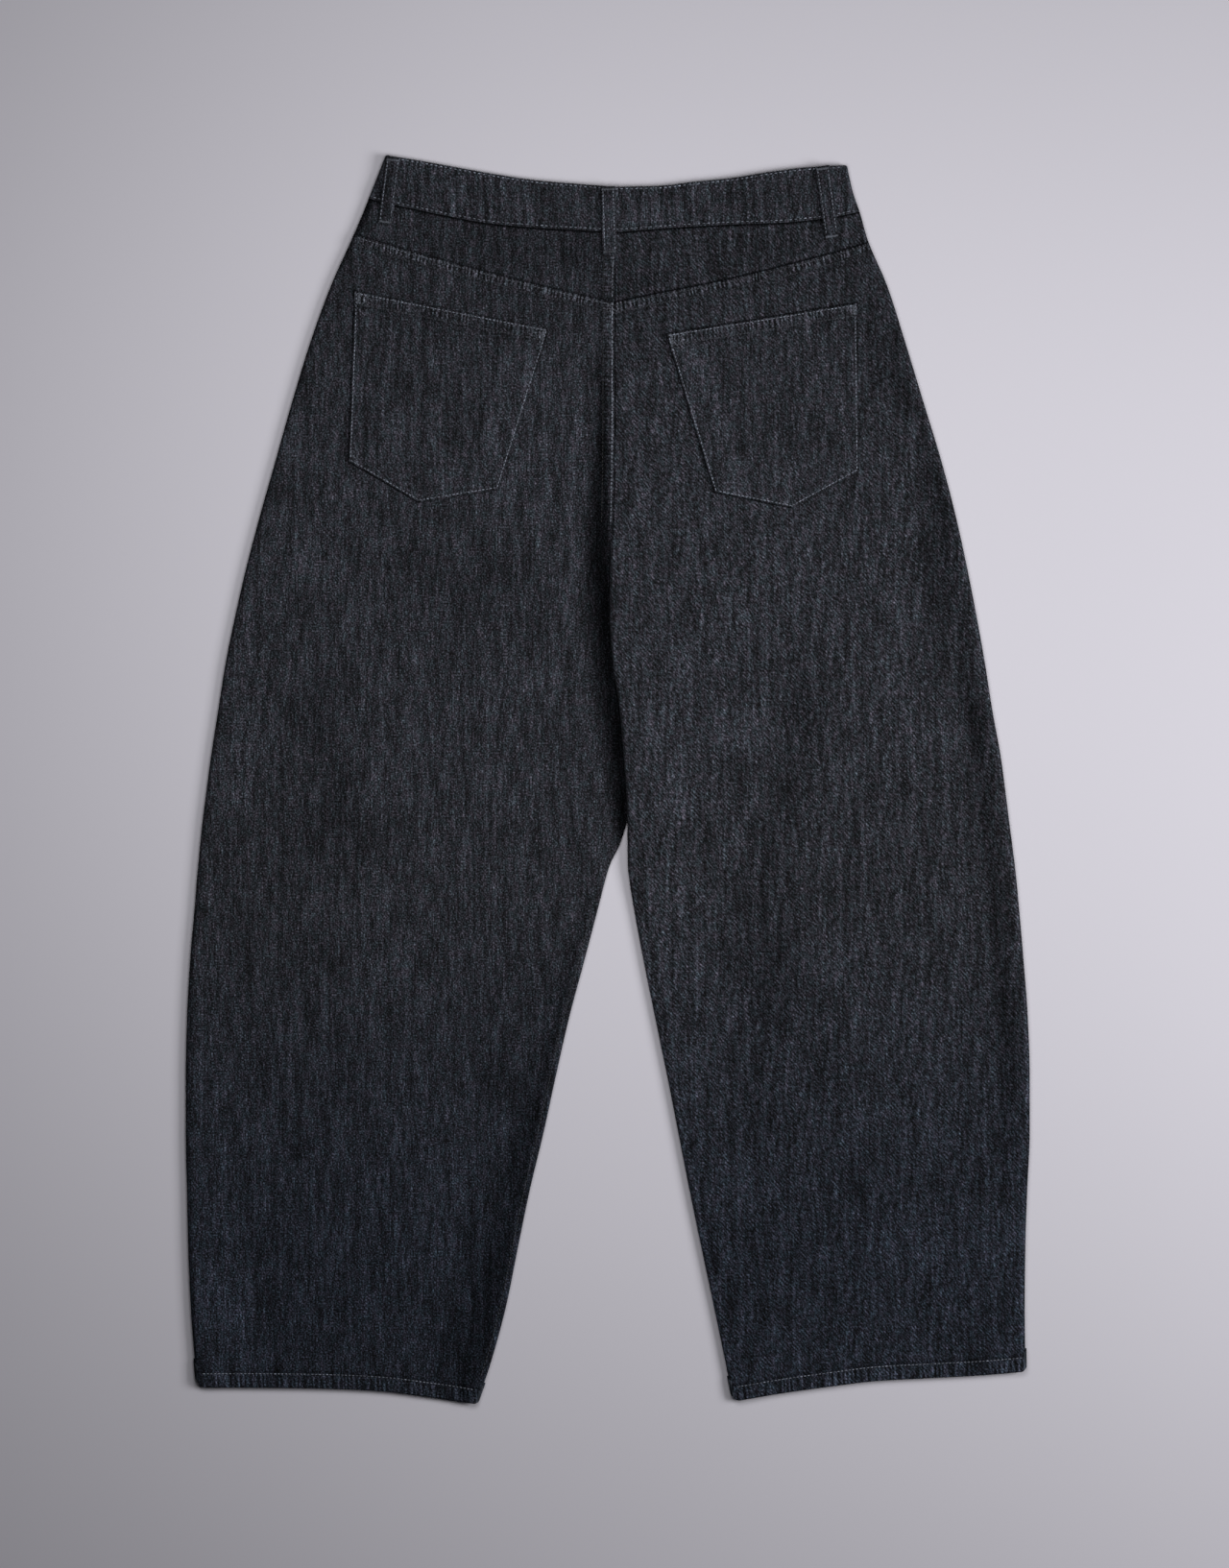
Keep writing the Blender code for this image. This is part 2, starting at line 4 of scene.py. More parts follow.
import bpy
import numpy as np
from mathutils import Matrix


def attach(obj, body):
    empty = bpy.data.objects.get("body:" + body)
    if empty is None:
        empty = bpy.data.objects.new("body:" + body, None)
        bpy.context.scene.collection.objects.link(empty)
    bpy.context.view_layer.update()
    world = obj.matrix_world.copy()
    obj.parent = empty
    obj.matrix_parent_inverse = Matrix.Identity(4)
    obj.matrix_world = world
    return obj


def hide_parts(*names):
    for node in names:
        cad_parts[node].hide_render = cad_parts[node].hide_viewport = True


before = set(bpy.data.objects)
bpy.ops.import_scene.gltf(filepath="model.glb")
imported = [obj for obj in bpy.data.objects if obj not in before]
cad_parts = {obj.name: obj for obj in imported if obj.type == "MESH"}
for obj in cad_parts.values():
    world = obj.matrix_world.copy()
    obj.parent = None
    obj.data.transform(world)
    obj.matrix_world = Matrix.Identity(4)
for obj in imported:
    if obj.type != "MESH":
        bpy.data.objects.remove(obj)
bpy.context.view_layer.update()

mm = 0.001

# Metres, with the floor at z = 0. +Y runs from the hems to the waist, and -X is the wearer's left.
# The garment lies on its front. Tables hold millimetres.

outward = {"left": -1.0, "right": 1.0}

# Each row: y, left side, left inner edge, right inner edge, right side
outlineRows = (
    (500, -178, 6.5, 6.5, 190), (472, -189, 6.5, 6.5, 196), (454, -196, 6.3, 6.3, 202),
    (433, -205, 6, 6, 208), (395, -222, 5.3, 5.3, 224), (348, -239, 5, 5, 239),
    (302, -253, 5, 5, 253), (256, -266, 4.8, 4.8, 267), (210, -279, 4, 4, 279),
    (164, -291, 1.8, 1.8, 289), (133, -298, 3, 1.4, 295), (94, -306, 13, 4, 302),
    (56, -312, 21, 9.5, 308), (17, -318, 22, 12.8, 315), (-13, -322, 19.5, 15, 319),
    (-33, -324.5, 15.5, 15.6, 321.5), (-52, -326.5, 9.5, 15.8, 324), (-68, -328, 1.8, 16, 326),
    (-82, -329.3, -2.4, 17.5, 327.5), (-98, -330.5, -6.5, 20, 329), (-144, -334.5, -18.5, 28.5, 333),
    (-191, -337, -31, 38, 336.5), (-237, -338, -41.5, 47.5, 338), (-283, -338, -51.5, 56.5, 338),
    (-329, -337, -62.5, 65.5, 336), (-375, -336, -72, 75, 334.5), (-422, -334, -81.5, 85, 334),
    (-468, -330.5, -94, 94.5, 334.5), (-500, -328, -105, 101, 335),
)
outlineNames = ("y", "left side", "left inner", "right inner", "right side")

# Where the legs lie one on the other. Each row: y, left top, right top, right underside, rolled, welt
crossingRows = (
    (500, 5.0, 5.0, 0.0, 0.0, 1.0), (295, 5.0, 5.0, 0.0, 0.0, 1.0), (256, 5.5, 5.5, 0.0, 0.0, 1.0),
    (222, 5.9, 5.9, 0.0, 0.0, 0.6), (164, 4.4, 7.4, 2.4, 1.0, 0.0), (136, 3.4, 8.0, 3.9, 1.0, 0.0),
    (-30, 3.4, 8.0, 3.9, 1.0, 0.0), (-70, 4.6, 6.8, 1.8, 1.0, 0.8), (-115, 5.6, 5.6, 0.0, 1.0, 1.0),
    (-500, 5.6, 5.6, 0.0, 1.0, 1.0),
)
crossingNames = ("y", "left top", "right top", "right under", "rolled", "welt")

# Each row: share of the way from the centre to the side, then y of the waist, band seam, yoke seam and hem
seamRows = {
    "left": (
        (0.00, 474.5, 438.0, 382.0, -500.0), (0.17, 477.0, 440.0, 391.0, -494.5),
        (0.34, 480.0, 442.3, 400.0, -490.0), (0.50, 484.5, 445.5, 409.0, -488.0),
        (0.67, 490.0, 451.5, 418.3, -487.2), (0.84, 495.5, 458.3, 427.8, -487.0),
        (1.00, 500.0, 465.0, 437.0, -487.0),
    ),
    "right": (
        (0.00, 474.5, 438.0, 382.0, -498.0), (0.17, 475.2, 440.8, 390.0, -491.5),
        (0.34, 478.7, 443.1, 397.0, -486.0), (0.50, 481.8, 444.6, 404.5, -481.5),
        (0.67, 486.8, 445.8, 413.0, -479.3), (0.84, 490.4, 449.0, 421.5, -477.2),
        (1.00, 492.0, 454.5, 430.0, -474.0),
    ),
}
seamNames = ("share", "waist", "band", "yoke", "hem")

# Large soft folds. Each row: x0, y0, x1, y1, reach, rise
foldRows = (
    (-16, 330, -14, 170, 13, -1.3), (-38, 340, -30, 200, 18, -0.5), (-178, 200, -120, 40, 40, -0.7),
    (-250, 120, -300, -120, 34, 0.5), (-60, -30, -220, -60, 36, -0.6), (-120, -260, -150, -420, 34, 0.5),
    (-84, -285, -120, -480, 14, -0.8), (-280, -330, -300, -470, 30, -0.5), (80, 150, 60, -40, 34, 0.6),
    (190, 90, 250, -110, 40, -0.5), (130, -120, 160, -330, 38, 0.5), (250, -240, 240, -430, 36, -0.6),
)

cloth = {
    "wall": 1.1 * mm,
    "bodyHeight": 5.0 * mm,
    "sideHeight": 5.6 * mm,
    "bandHeight": 6.2 * mm,
    "sideSpread": 16 * mm,
    "hemRise": 0.4 * mm,
    "hemSpread": 30 * mm,
    "weltWidth": 9.5 * mm,
    "weltSlope": 1.5 * mm,
    "weltRise": 0.6 * mm,
    "frontDrop": 12 * mm,
    "creaseFlat": 3 * mm,
    "underReach": 34 * mm,
    "leftReach": 34 * mm,
    "rightFlat": 6 * mm,
    "rightReach": 46 * mm,
    "roll": 2.8 * mm,
    "stand": 0.5 * mm,
    "gap": 0.3 * mm,
    "edgeMargin": 12 * mm,
    "lapUnder": 1.3 * mm,
    "edgeRound": 0.8 * mm,
}
button = {
    "fromEnd": 13 * mm,
    "lift": 2.5 * mm,
    "liftFlat": 10 * mm,
    "liftReach": 60 * mm,
    "bulge": 2.1 * mm,
    "bulgeAcross": 46 * mm,
    "bulgeAlong": 34 * mm,
}


# Curves and noise

def tableOf(rows, names):
    columns = np.array(sorted(rows), float).T
    return dict(zip(names, columns))


outlineTable = tableOf(outlineRows, outlineNames)
crossingTable = tableOf(crossingRows, crossingNames)
seamTables = {side: tableOf(rows, seamNames) for side, rows in seamRows.items()}


def curveAt(keys, values, at):  # smooth and without overshoot
    slopes = np.diff(values) / np.diff(keys)
    before, after = slopes[:-1], slopes[1:]
    both = before + after
    inner = np.where(before * after > 0, 2 * before * after / np.where(both == 0, 1, both), 0)
    tangents = np.concatenate([slopes[:1], inner, slopes[-1:]])
    at = np.clip(at, keys[0], keys[-1])
    i = np.clip(np.searchsorted(keys, at, side="right") - 1, 0, len(keys) - 2)
    width = keys[i + 1] - keys[i]
    t = (at - keys[i]) / width
    rise = values[i + 1] - values[i]
    m0, m1 = tangents[i] * width, tangents[i + 1] * width
    return values[i] + t * m0 + t * t * (3 * rise - 2 * m0 - m1) + t**3 * (m0 + m1 - 2 * rise)


def ramp(start, end, at):
    t = np.clip((at - start) / (end - start), 0, 1)
    return t * t * (3 - 2 * t)


def fall(start, end, at):
    return 1 - ramp(start, end, at)


def bell(distance, reach):
    return np.exp(-((distance / reach) ** 2))


def band(low, high, soft, at):  # 1 between low and high
    return ramp(low - soft, low, at) * fall(high, high + soft, at)


def softNoise(x, y, sizeX, sizeY, seed):  # -1 to 1, smooth
    values = np.random.default_rng(seed).uniform(-1, 1, (61, 67))
    gx, gy = np.asarray(x) / sizeX + 500, np.asarray(y) / sizeY + 500
    ix, iy = np.floor(gx).astype(int), np.floor(gy).astype(int)
    fx, fy = gx - ix, gy - iy
    fx, fy = fx * fx * (3 - 2 * fx), fy * fy * (3 - 2 * fy)
    a, b = values[ix % 61, iy % 67], values[(ix + 1) % 61, iy % 67]
    c, d = values[ix % 61, (iy + 1) % 67], values[(ix + 1) % 61, (iy + 1) % 67]
    return (a * (1 - fx) + b * fx) * (1 - fy) + (c * (1 - fx) + d * fx) * fy


def layeredNoise(x, y, sizeX, sizeY, seed, layers=3):
    total = 0
    for k in range(layers):
        total += softNoise(x, y, sizeX / 2**k, sizeY / 2**k, seed + k) / 2**k
    return total / (2 - 2 ** (1 - layers))


# The form, the same as the solids have

def outlineAt(side, edge, y):
    return curveAt(outlineTable["y"] * mm, outlineTable[f"{side} {edge}"], y) * mm


def innerEdge(side, y):
    return outlineAt(side, "inner", y)


def sideEdge(side, y):
    return outlineAt(side, "side", y)


def crossingAt(name, y):
    return curveAt(crossingTable["y"] * mm, crossingTable[name], y)


def seamShare(name, side, share):
    if name.startswith("front "):
        return seamShare(name[6:], side, share) - cloth["frontDrop"] * (1 - share * share)
    table = seamTables[side]
    return curveAt(table["share"], table[name], share) * mm


def shareAcross(side, x, y):
    inner = innerEdge(side, y)
    return np.clip((x - inner) / (sideEdge(side, y) - inner), 0, 1)


def seamOver(name, side, x):  # height of a seam at x
    y = seamShare(name, side, 0.5) + 0 * x
    for _ in range(6):
        y = seamShare(name, side, shareAcross(side, x, y))
    return y


def columnX(side, a, b, y):  # a is a distance from the inner edge and b a share of the width
    inner = innerEdge(side, y)
    width = np.abs(sideEdge(side, y) - inner)
    return inner + outward[side] * (a + b * width)


def seamOn(name, side, a, b):  # height of a seam on a column
    y = seamShare(name, side, 0.5) + 0 * a
    for _ in range(6):
        y = seamShare(name, side, shareAcross(side, columnX(side, a, b, y), y))
    return y


buttonY = (seamShare("front waist", "left", 0.0) + seamShare("front band", "left", 0.0)) / 2
buttonX = innerEdge("left", buttonY) - button["fromEnd"]


def bulgeAt(x, y):
    across = bell(x - buttonX, button["bulgeAcross"])
    return button["bulge"] * across * bell(y - buttonY, button["bulgeAlong"])


def underHeight(side, x, y):
    fromButton = np.hypot(x - buttonX, y - buttonY)
    lift = button["lift"] * fall(button["liftFlat"], button["liftReach"], fromButton)
    if side == "right":
        past = x - np.maximum(innerEdge("left", y), innerEdge("right", y))
        over = fall(cloth["creaseFlat"], cloth["underReach"], past)
        lift += crossingAt("right under", y) * mm * over
    return lift


def segmentDistance(x, y, x0, y0, x1, y1):
    dx, dy = x1 - x0, y1 - y0
    t = np.clip(((x - x0) * dx + (y - y0) * dy) / (dx * dx + dy * dy), 0, 1)
    return np.hypot(x - x0 - t * dx, y - y0 - t * dy)


def foldsAt(x, y):
    total = 0
    for x0, y0, x1, y1, reach, rise in foldRows:
        distance = segmentDistance(x, y, x0 * mm, y0 * mm, x1 * mm, y1 * mm)
        total += rise * mm * bell(distance, reach * mm)
    return total


def edgeMasks(side, x, y):
    fromInner, fromSide = np.abs(x - innerEdge(side, y)), np.abs(sideEdge(side, y) - x)
    nearEdge = 1 - bell(fromSide, cloth["sideSpread"])
    if side == "left":
        atEdge = fall(0, cloth["leftReach"], fromInner)
    else:
        atEdge = fall(cloth["rightFlat"], cloth["rightReach"], fromInner)
    return fromSide, nearEdge, atEdge


def backHeight(side, x, y):
    fromSide, nearEdge, atEdge = edgeMasks(side, x, y)
    body = cloth["bodyHeight"]
    height = body + (cloth["sideHeight"] - body) * bell(fromSide, cloth["sideSpread"])
    fromHem = y - seamShare("hem", side, 0.5)
    height += cloth["hemRise"] * bell(fromHem, cloth["hemSpread"]) + bulgeAt(x, y)
    edgeTop = crossingAt(side + " top", y) * mm - body
    return height + edgeTop * atEdge + foldsAt(x, y) * nearEdge * (1 - atEdge**3)


# Fine relief of the cloth: creases, unevenness, puckered seams

# Each row: three points of the crease, then reach and rise
creaseRows = (
    (-150, 405, -120, 398, -85, 395, 7, -0.30),
    (-215, 330, -222, 290, -226, 250, 8, -0.30),
    (-60, 190, -92, 120, -110, 60, 15, -0.45),
    (-205, 150, -180, 90, -165, 20, 18, -0.40),
    (-30, 120, -60, 40, -120, -20, 16, 0.35),
    (-270, 60, -250, 0, -255, -70, 17, -0.35),
    (-200, -20, -130, -40, -60, -20, 14, -0.40),
    (-300, -60, -240, -95, -160, -90, 16, 0.30),
    (-90, -150, -130, -165, -190, -150, 15, -0.30),
    (-250, -180, -235, -250, -240, -320, 18, -0.35),
    (-175, -230, -165, -300, -178, -370, 15, -0.30),
    (-300, -250, -310, -320, -305, -400, 12, 0.30),
    (-140, -380, -160, -430, -165, -480, 10, -0.30),
    (-220, -420, -225, -450, -222, -485, 9, -0.30),
    (60, 200, 70, 120, 62, 50, 15, -0.40),
    (120, 190, 130, 110, 110, 20, 18, -0.30),
    (225, 200, 240, 120, 250, 40, 14, -0.35),
    (45, 20, 100, -20, 170, -25, 16, 0.35),
    (200, 0, 230, -60, 240, -130, 17, -0.35),
    (70, -90, 130, -120, 200, -110, 15, -0.35),
    (90, -190, 110, -260, 125, -330, 15, -0.35),
    (190, -170, 200, -250, 190, -330, 18, 0.30),
    (290, -120, 300, -200, 298, -290, 13, -0.30),
    (150, -360, 160, -410, 158, -465, 11, -0.35),
    (270, -360, 280, -410, 275, -460, 12, -0.30),
    (20, 330, 24, 260, 22, 200, 12, -0.30),
    (215, 330, 225, 280, 232, 230, 9, -0.25),
)


def creasesAt(x, y, rows):
    total = np.zeros(np.shape(x))
    t = np.linspace(0, 1, 17)
    for x0, y0, x1, y1, x2, y2, reach, rise in rows:
        bendX, bendY = 2 * x1 - (x0 + x2) / 2, 2 * y1 - (y0 + y2) / 2
        px = (x0 * (1 - t) ** 2 + 2 * bendX * t * (1 - t) + x2 * t**2) * mm
        py = (y0 * (1 - t) ** 2 + 2 * bendY * t * (1 - t) + y2 * t**2) * mm
        span = 3 * reach * mm
        near = (x > px.min() - span) & (x < px.max() + span) & (y > py.min() - span) & (y < py.max() + span)
        if not near.any():
            continue
        nx, ny = x[near], y[near]
        best, along = np.full(nx.shape, 1e9), np.zeros(nx.shape)
        for k in range(len(t) - 1):
            distance = segmentDistance(nx, ny, px[k], py[k], px[k + 1], py[k + 1])
            closer = distance < best
            best = np.where(closer, distance, best)
            along = np.where(closer, (t[k] + t[k + 1]) / 2, along)
        taper = np.sin(np.pi * np.clip(along, 0.03, 0.97)) ** 0.6
        total[near] += rise * mm * bell(best, reach * mm) * taper
    return total


seeds = {
    "back": {"left": 11, "right": 41},
    "front": {"left": 71, "right": 91},
    "wear": {"left": 21, "right": 51},
    "pocket": {"left": 211, "right": 241},
    "loop": {"left": 401, "centre": 421, "right": 441},
    "sewing": {"left": 500, "right": 600},
    "pocketSewing": {"left": 800, "right": 850},
    "bandSewing": {"left": 710, "right": 720},
    "loopSewing": {"left": 900, "centre": 910, "right": 920},
    "thread": 77,
    "waistband": 121,
    "toneAndShade": 301,
}
swell = {
    "wide": (46 * mm, 62 * mm),
    "wideRise": 0.34 * mm,
    "small": (13 * mm, 19 * mm),
    "smallRise": 0.07 * mm,
}


def unevenness(x, y, seed):  # the soft swell of cloth that isn't quite flat
    wide = layeredNoise(x, y, *swell["wide"], seed, 3)
    small = layeredNoise(x, y, *swell["small"], seed + 7, 2)
    return swell["wideRise"] * wide + swell["smallRise"] * small


def ripple(along, across, length, lean, seed):  # -1 to 1, uneven ridges across a seam
    drift = softNoise(along, 0, 9 * length, 1, seed) * 0.55
    drift += softNoise(along, 0, 3.1 * length, 1, seed + 1) * 0.22
    phase = (along + lean * across) / length + drift
    strength = 0.65 + 0.35 * softNoise(along, 0, 2.6 * length, 1, seed + 2)
    return np.sin(2 * np.pi * phase) * strength


def roundOff(distance, radius):  # how far a rounded edge falls below its top
    left = 1 - np.clip(distance / radius, 0, 1)
    return radius * (1 - np.sqrt(np.clip(1 - left * left, 0, 1)))


seams = {
    "puckerLength": 5.2 * mm,
    "puckerRise": 0.17 * mm,
    "puckerLean": 0.25,
    "puckerSpan": (0.5 * mm, 8.5 * mm, 5 * mm),
    "yokePucker": 0.55,
    "seatPuckerLength": 7 * mm,
    "seatPuckerRise": 0.10 * mm,
    "ropeLength": 4.6 * mm,
    "ropeRise": 0.20 * mm,
    "ropeLean": 0.3,
    "rows": (2.2 * mm, 8.6 * mm),  # of stitches, below the yoke seam and beside the seat seam
    "stitchGroove": 0.16 * mm,
    "grooveReach": 0.9 * mm,
    "hemBand": 13 * mm,
    "hemBandRise": 0.45 * mm,
    "hemStitch": 11.5 * mm,
    "lapDrop": 1.25 * mm,
    "bandDrop": 0.5 * mm,
    "frontGroove": 0.6 * mm,
}
# Where the legs cross. Each: rise, distance from the inner edge, reach, then the low, high and soft ends in y
crossingRise = {
    "right": (2.2 * mm, 9 * mm, 22 * mm, (-0.02, 0.15, 0.09)),
    "left": (-0.5 * mm, 18 * mm, 15 * mm, (0.0, 0.17, 0.07)),
}


def places(side, x, y):  # distances from every seam and edge
    out = outward[side]
    return {
        "inner": out * (x - innerEdge(side, y)),
        "side": out * (sideEdge(side, y) - x),
        "yoke": seamOver("yoke", side, x) - y,
        "band": seamOver("band", side, x) - y,
        "hem": y - seamOver("hem", side, x),
    }


def rollHeights(side, atSide, y):
    edge = sideEdge(side, y) if atSide else innerEdge(side, y)
    toward = outward[side] if atSide else -outward[side]
    near = edge - toward * cloth["roll"]
    return backHeight(side, near, y), underHeight(side, near, y)


def rolledOver(height, side, atSide, distance, y, layer):  # the half round of an edge
    top, under = rollHeights(side, atSide, y)
    middle, gap, stand = (top + under) / 2, cloth["gap"] / 2, cloth["stand"]
    left = 1 - np.clip(distance / cloth["roll"], 0, 1)
    bow = np.sqrt(np.clip(1 - left * left, 0, 1))
    if layer == "back":
        low = middle + gap + stand
        return np.where(distance < cloth["roll"], low + (height - low) * bow, height)
    high = middle - gap - stand
    return np.where(distance < cloth["roll"], high + (height - high) * bow, height)


def backFace(side, x, y, part):  # outer face of the back panel or yoke
    at = places(side, x, y)
    _, nearEdge, atEdge = edgeMasks(side, x, y)
    rolled, seed = crossingAt("rolled", y), seeds["back"][side]
    welted = crossingAt("welt", y) * (side == "left")
    relief = creasesAt(x, y, creaseRows) + unevenness(x, y, seed)
    height = backHeight(side, x, y) + relief * nearEdge * (1 - atEdge**3)
    rise, middle, reach, span = crossingRise[side]
    height += rise * bell(at["inner"] - middle, reach) * band(*span, y)
    width, slope = cloth["weltWidth"], cloth["weltSlope"]
    lap = welted * fall(width, width + slope, at["inner"])
    if part == "panel":
        lap = np.maximum(lap, fall(width, width + slope, at["yoke"]))
    height += cloth["weltRise"] * lap
    # puckers along the seams
    pucker = ripple(x, y, seams["puckerLength"], seams["puckerLean"] * outward[side], seed + 3)
    if part == "panel":
        onYoke = band(*seams["puckerSpan"], at["yoke"])
    else:
        onYoke = seams["yokePucker"] * np.maximum(bell(at["yoke"], 8 * mm), bell(at["band"], 7 * mm))
    height += seams["puckerRise"] * pucker * onYoke
    pucker = ripple(y, x, seams["seatPuckerLength"], 0.3, seed + 5)
    height += seams["seatPuckerRise"] * pucker * welted * band(0, 9 * mm, 6 * mm, at["inner"])
    for row in seams["rows"]:
        groove = bell(at["yoke"] - row, seams["grooveReach"]) if part == "panel" else 0
        groove = np.maximum(groove, welted * bell(at["inner"] - row, seams["grooveReach"]))
        height -= seams["stitchGroove"] * groove
    # the turned hem
    hemmed = fall(seams["hemBand"], seams["hemBand"] + 2 * mm, at["hem"])
    rope = ripple(x, y, seams["ropeLength"], -seams["ropeLean"], seed + 9)
    rise = seams["hemBandRise"] + seams["ropeRise"] * rope * band(0, 10 * mm, 4 * mm, at["hem"])
    height += hemmed * rise
    height -= 0.7 * seams["stitchGroove"] * bell(at["hem"] - seams["hemStitch"], 1.1 * mm)
    # edges that lap and edges that are lapped
    if part == "panel":
        height -= roundOff(at["yoke"], cloth["edgeRound"])
    else:
        height -= seams["lapDrop"] * ramp(-0.9 * mm, 0.4 * mm, at["yoke"])
        height -= seams["bandDrop"] * fall(-0.4 * mm, 0.8 * mm, at["band"])
    if side == "left":
        flat = height - roundOff(at["inner"], cloth["edgeRound"])
    else:
        flat = height - seams["lapDrop"] * fall(-0.3 * mm, 0.9 * mm, at["inner"])
    rounded = rolledOver(height, side, False, at["inner"], y, "back")
    height = flat + (rounded - flat) * rolled
    return rolledOver(height, side, True, at["side"], y, "back")


def frontFace(side, x, y):  # outer face of the front, which lies on the floor
    at = places(side, x, y)
    _, nearEdge, atEdge = edgeMasks(side, x, y)
    seed = seeds["front"][side]
    relief = np.clip(-creasesAt(x, y, creaseRows) + unevenness(x, y, seed), 0, 0.5 * mm)
    height = underHeight(side, x, y) + relief * nearEdge * (1 - atEdge**3)
    above = seamOver("front band", side, x) - y
    height += seams["lapDrop"] * fall(-0.4 * mm, 0.8 * mm, above)
    rope = ripple(x, y, seams["ropeLength"], seams["ropeLean"], seed + 9)
    height += seams["ropeRise"] * (1 + rope) * band(1 * mm, 9 * mm, 3 * mm, at["hem"]) * 0.5
    height += seams["frontGroove"] * bell(at["hem"] - seams["hemStitch"], 1.3 * mm)
    rounded = rolledOver(height, side, False, at["inner"], y, "front")
    height += (rounded - height) * crossingAt("rolled", y)
    return rolledOver(height, side, True, at["side"], y, "front")


# Materials

def socketKind(value):
    if value is None:
        return "NodeSocketVector"
    return "NodeSocketFloat" if isinstance(value, float) else "NodeSocketColor"


def newGroup(name, inputs, outputs):
    tree = bpy.data.node_groups.new(name, "ShaderNodeTree")
    for socketName, value in inputs.items():
        socket = tree.interface.new_socket(socketName, in_out="INPUT", socket_type=socketKind(value))
        if value is not None:
            socket.default_value = value
    for socketName in outputs:
        kind = "NodeSocketColor" if socketName == "Color" else "NodeSocketFloat"
        tree.interface.new_socket(socketName, in_out="OUTPUT", socket_type=kind)
    return tree


def node(tree, kind, **settings):
    made = tree.nodes.new(kind)
    for key, value in settings.items():
        setattr(made, key, value)
    return made


def plug(tree, source, target):
    if isinstance(source, (int, float)):
        target.default_value = source
    else:
        tree.links.new(source, target)


def maths(tree, operation, first, second=0.0, third=0.0):
    made = node(tree, "ShaderNodeMath", operation=operation)
    for value, socket in zip((first, second, third), made.inputs):
        plug(tree, value, socket)
    return made.outputs[0]


def summed(tree, total, *values):
    for value in values:
        total = maths(tree, "ADD", total, value)
    return total


def product(tree, total, *values):
    for value in values:
        total = maths(tree, "MULTIPLY", total, value)
    return total


def stretched(tree, vector, scale, spot=(0.0, 0.0, 0.0)):
    made = node(tree, "ShaderNodeMapping")
    made.inputs["Scale"].default_value = scale
    made.inputs["Location"].default_value = spot
    tree.links.new(vector, made.inputs["Vector"])
    return made.outputs[0]


def noiseAt(tree, vector, detail=0.0, rough=0.5, dimensions="2D"):
    made = node(tree, "ShaderNodeTexNoise", noise_dimensions=dimensions)
    made.inputs["Scale"].default_value = 1.0
    made.inputs["Detail"].default_value = detail
    made.inputs["Roughness"].default_value = rough
    tree.links.new(vector, made.inputs["Vector"])
    return made.outputs["Fac"]


def centred(tree, value, strength):  # noise about 0, times a strength
    return product(tree, maths(tree, "SUBTRACT", value, 0.5), strength)


def split(tree, vector):
    made = node(tree, "ShaderNodeSeparateXYZ")
    tree.links.new(vector, made.inputs[0])
    return made.outputs


weave = {  # sizes in metres
    "repeatAcross": 0.0031,
    "repeatAlong": 0.0034,
    "ribWide": 0.55,
    "ribLong": 1.8,
    "speckleAcross": 0.00115,
    "speckleAlong": 0.00130,
    "streakAcross": 0.00125,
    "streakAlong": 0.0062,
    "slubAcross": 0.0021,
    "slubAlong": 0.019,
    "mottleAcross": 0.0066,
    "mottleAlong": 0.0460,
    "hueAcross": 0.0042,
    "hueAlong": 0.0075,
    "hueReach": 3.5,
    "wobble": (170, 120),
    "wobbleReach": 0.8,
    "puckerPitch": 0.0036,
    "puckerLean": -0.2,
    "driftRate": 75,
    "driftReach": 3.0,
    "unevenRate": 62,
    "fleckFrom": 0.72,
    "fleckRise": 7.0,
    "contrast": 0.25,
    "power": 4.0,
}

denimWeave = newGroup(
    "denimWeave",
    {"Grain": None, "Seam": None, "Twill": 1.0, "Dashes": 3.0, "Speckle": 5.0, "Streak": 1.5, "Slub": 1.0,
     "Mottle": 1.0},
    ("Shade", "Fleck", "Hue", "Height"),
)


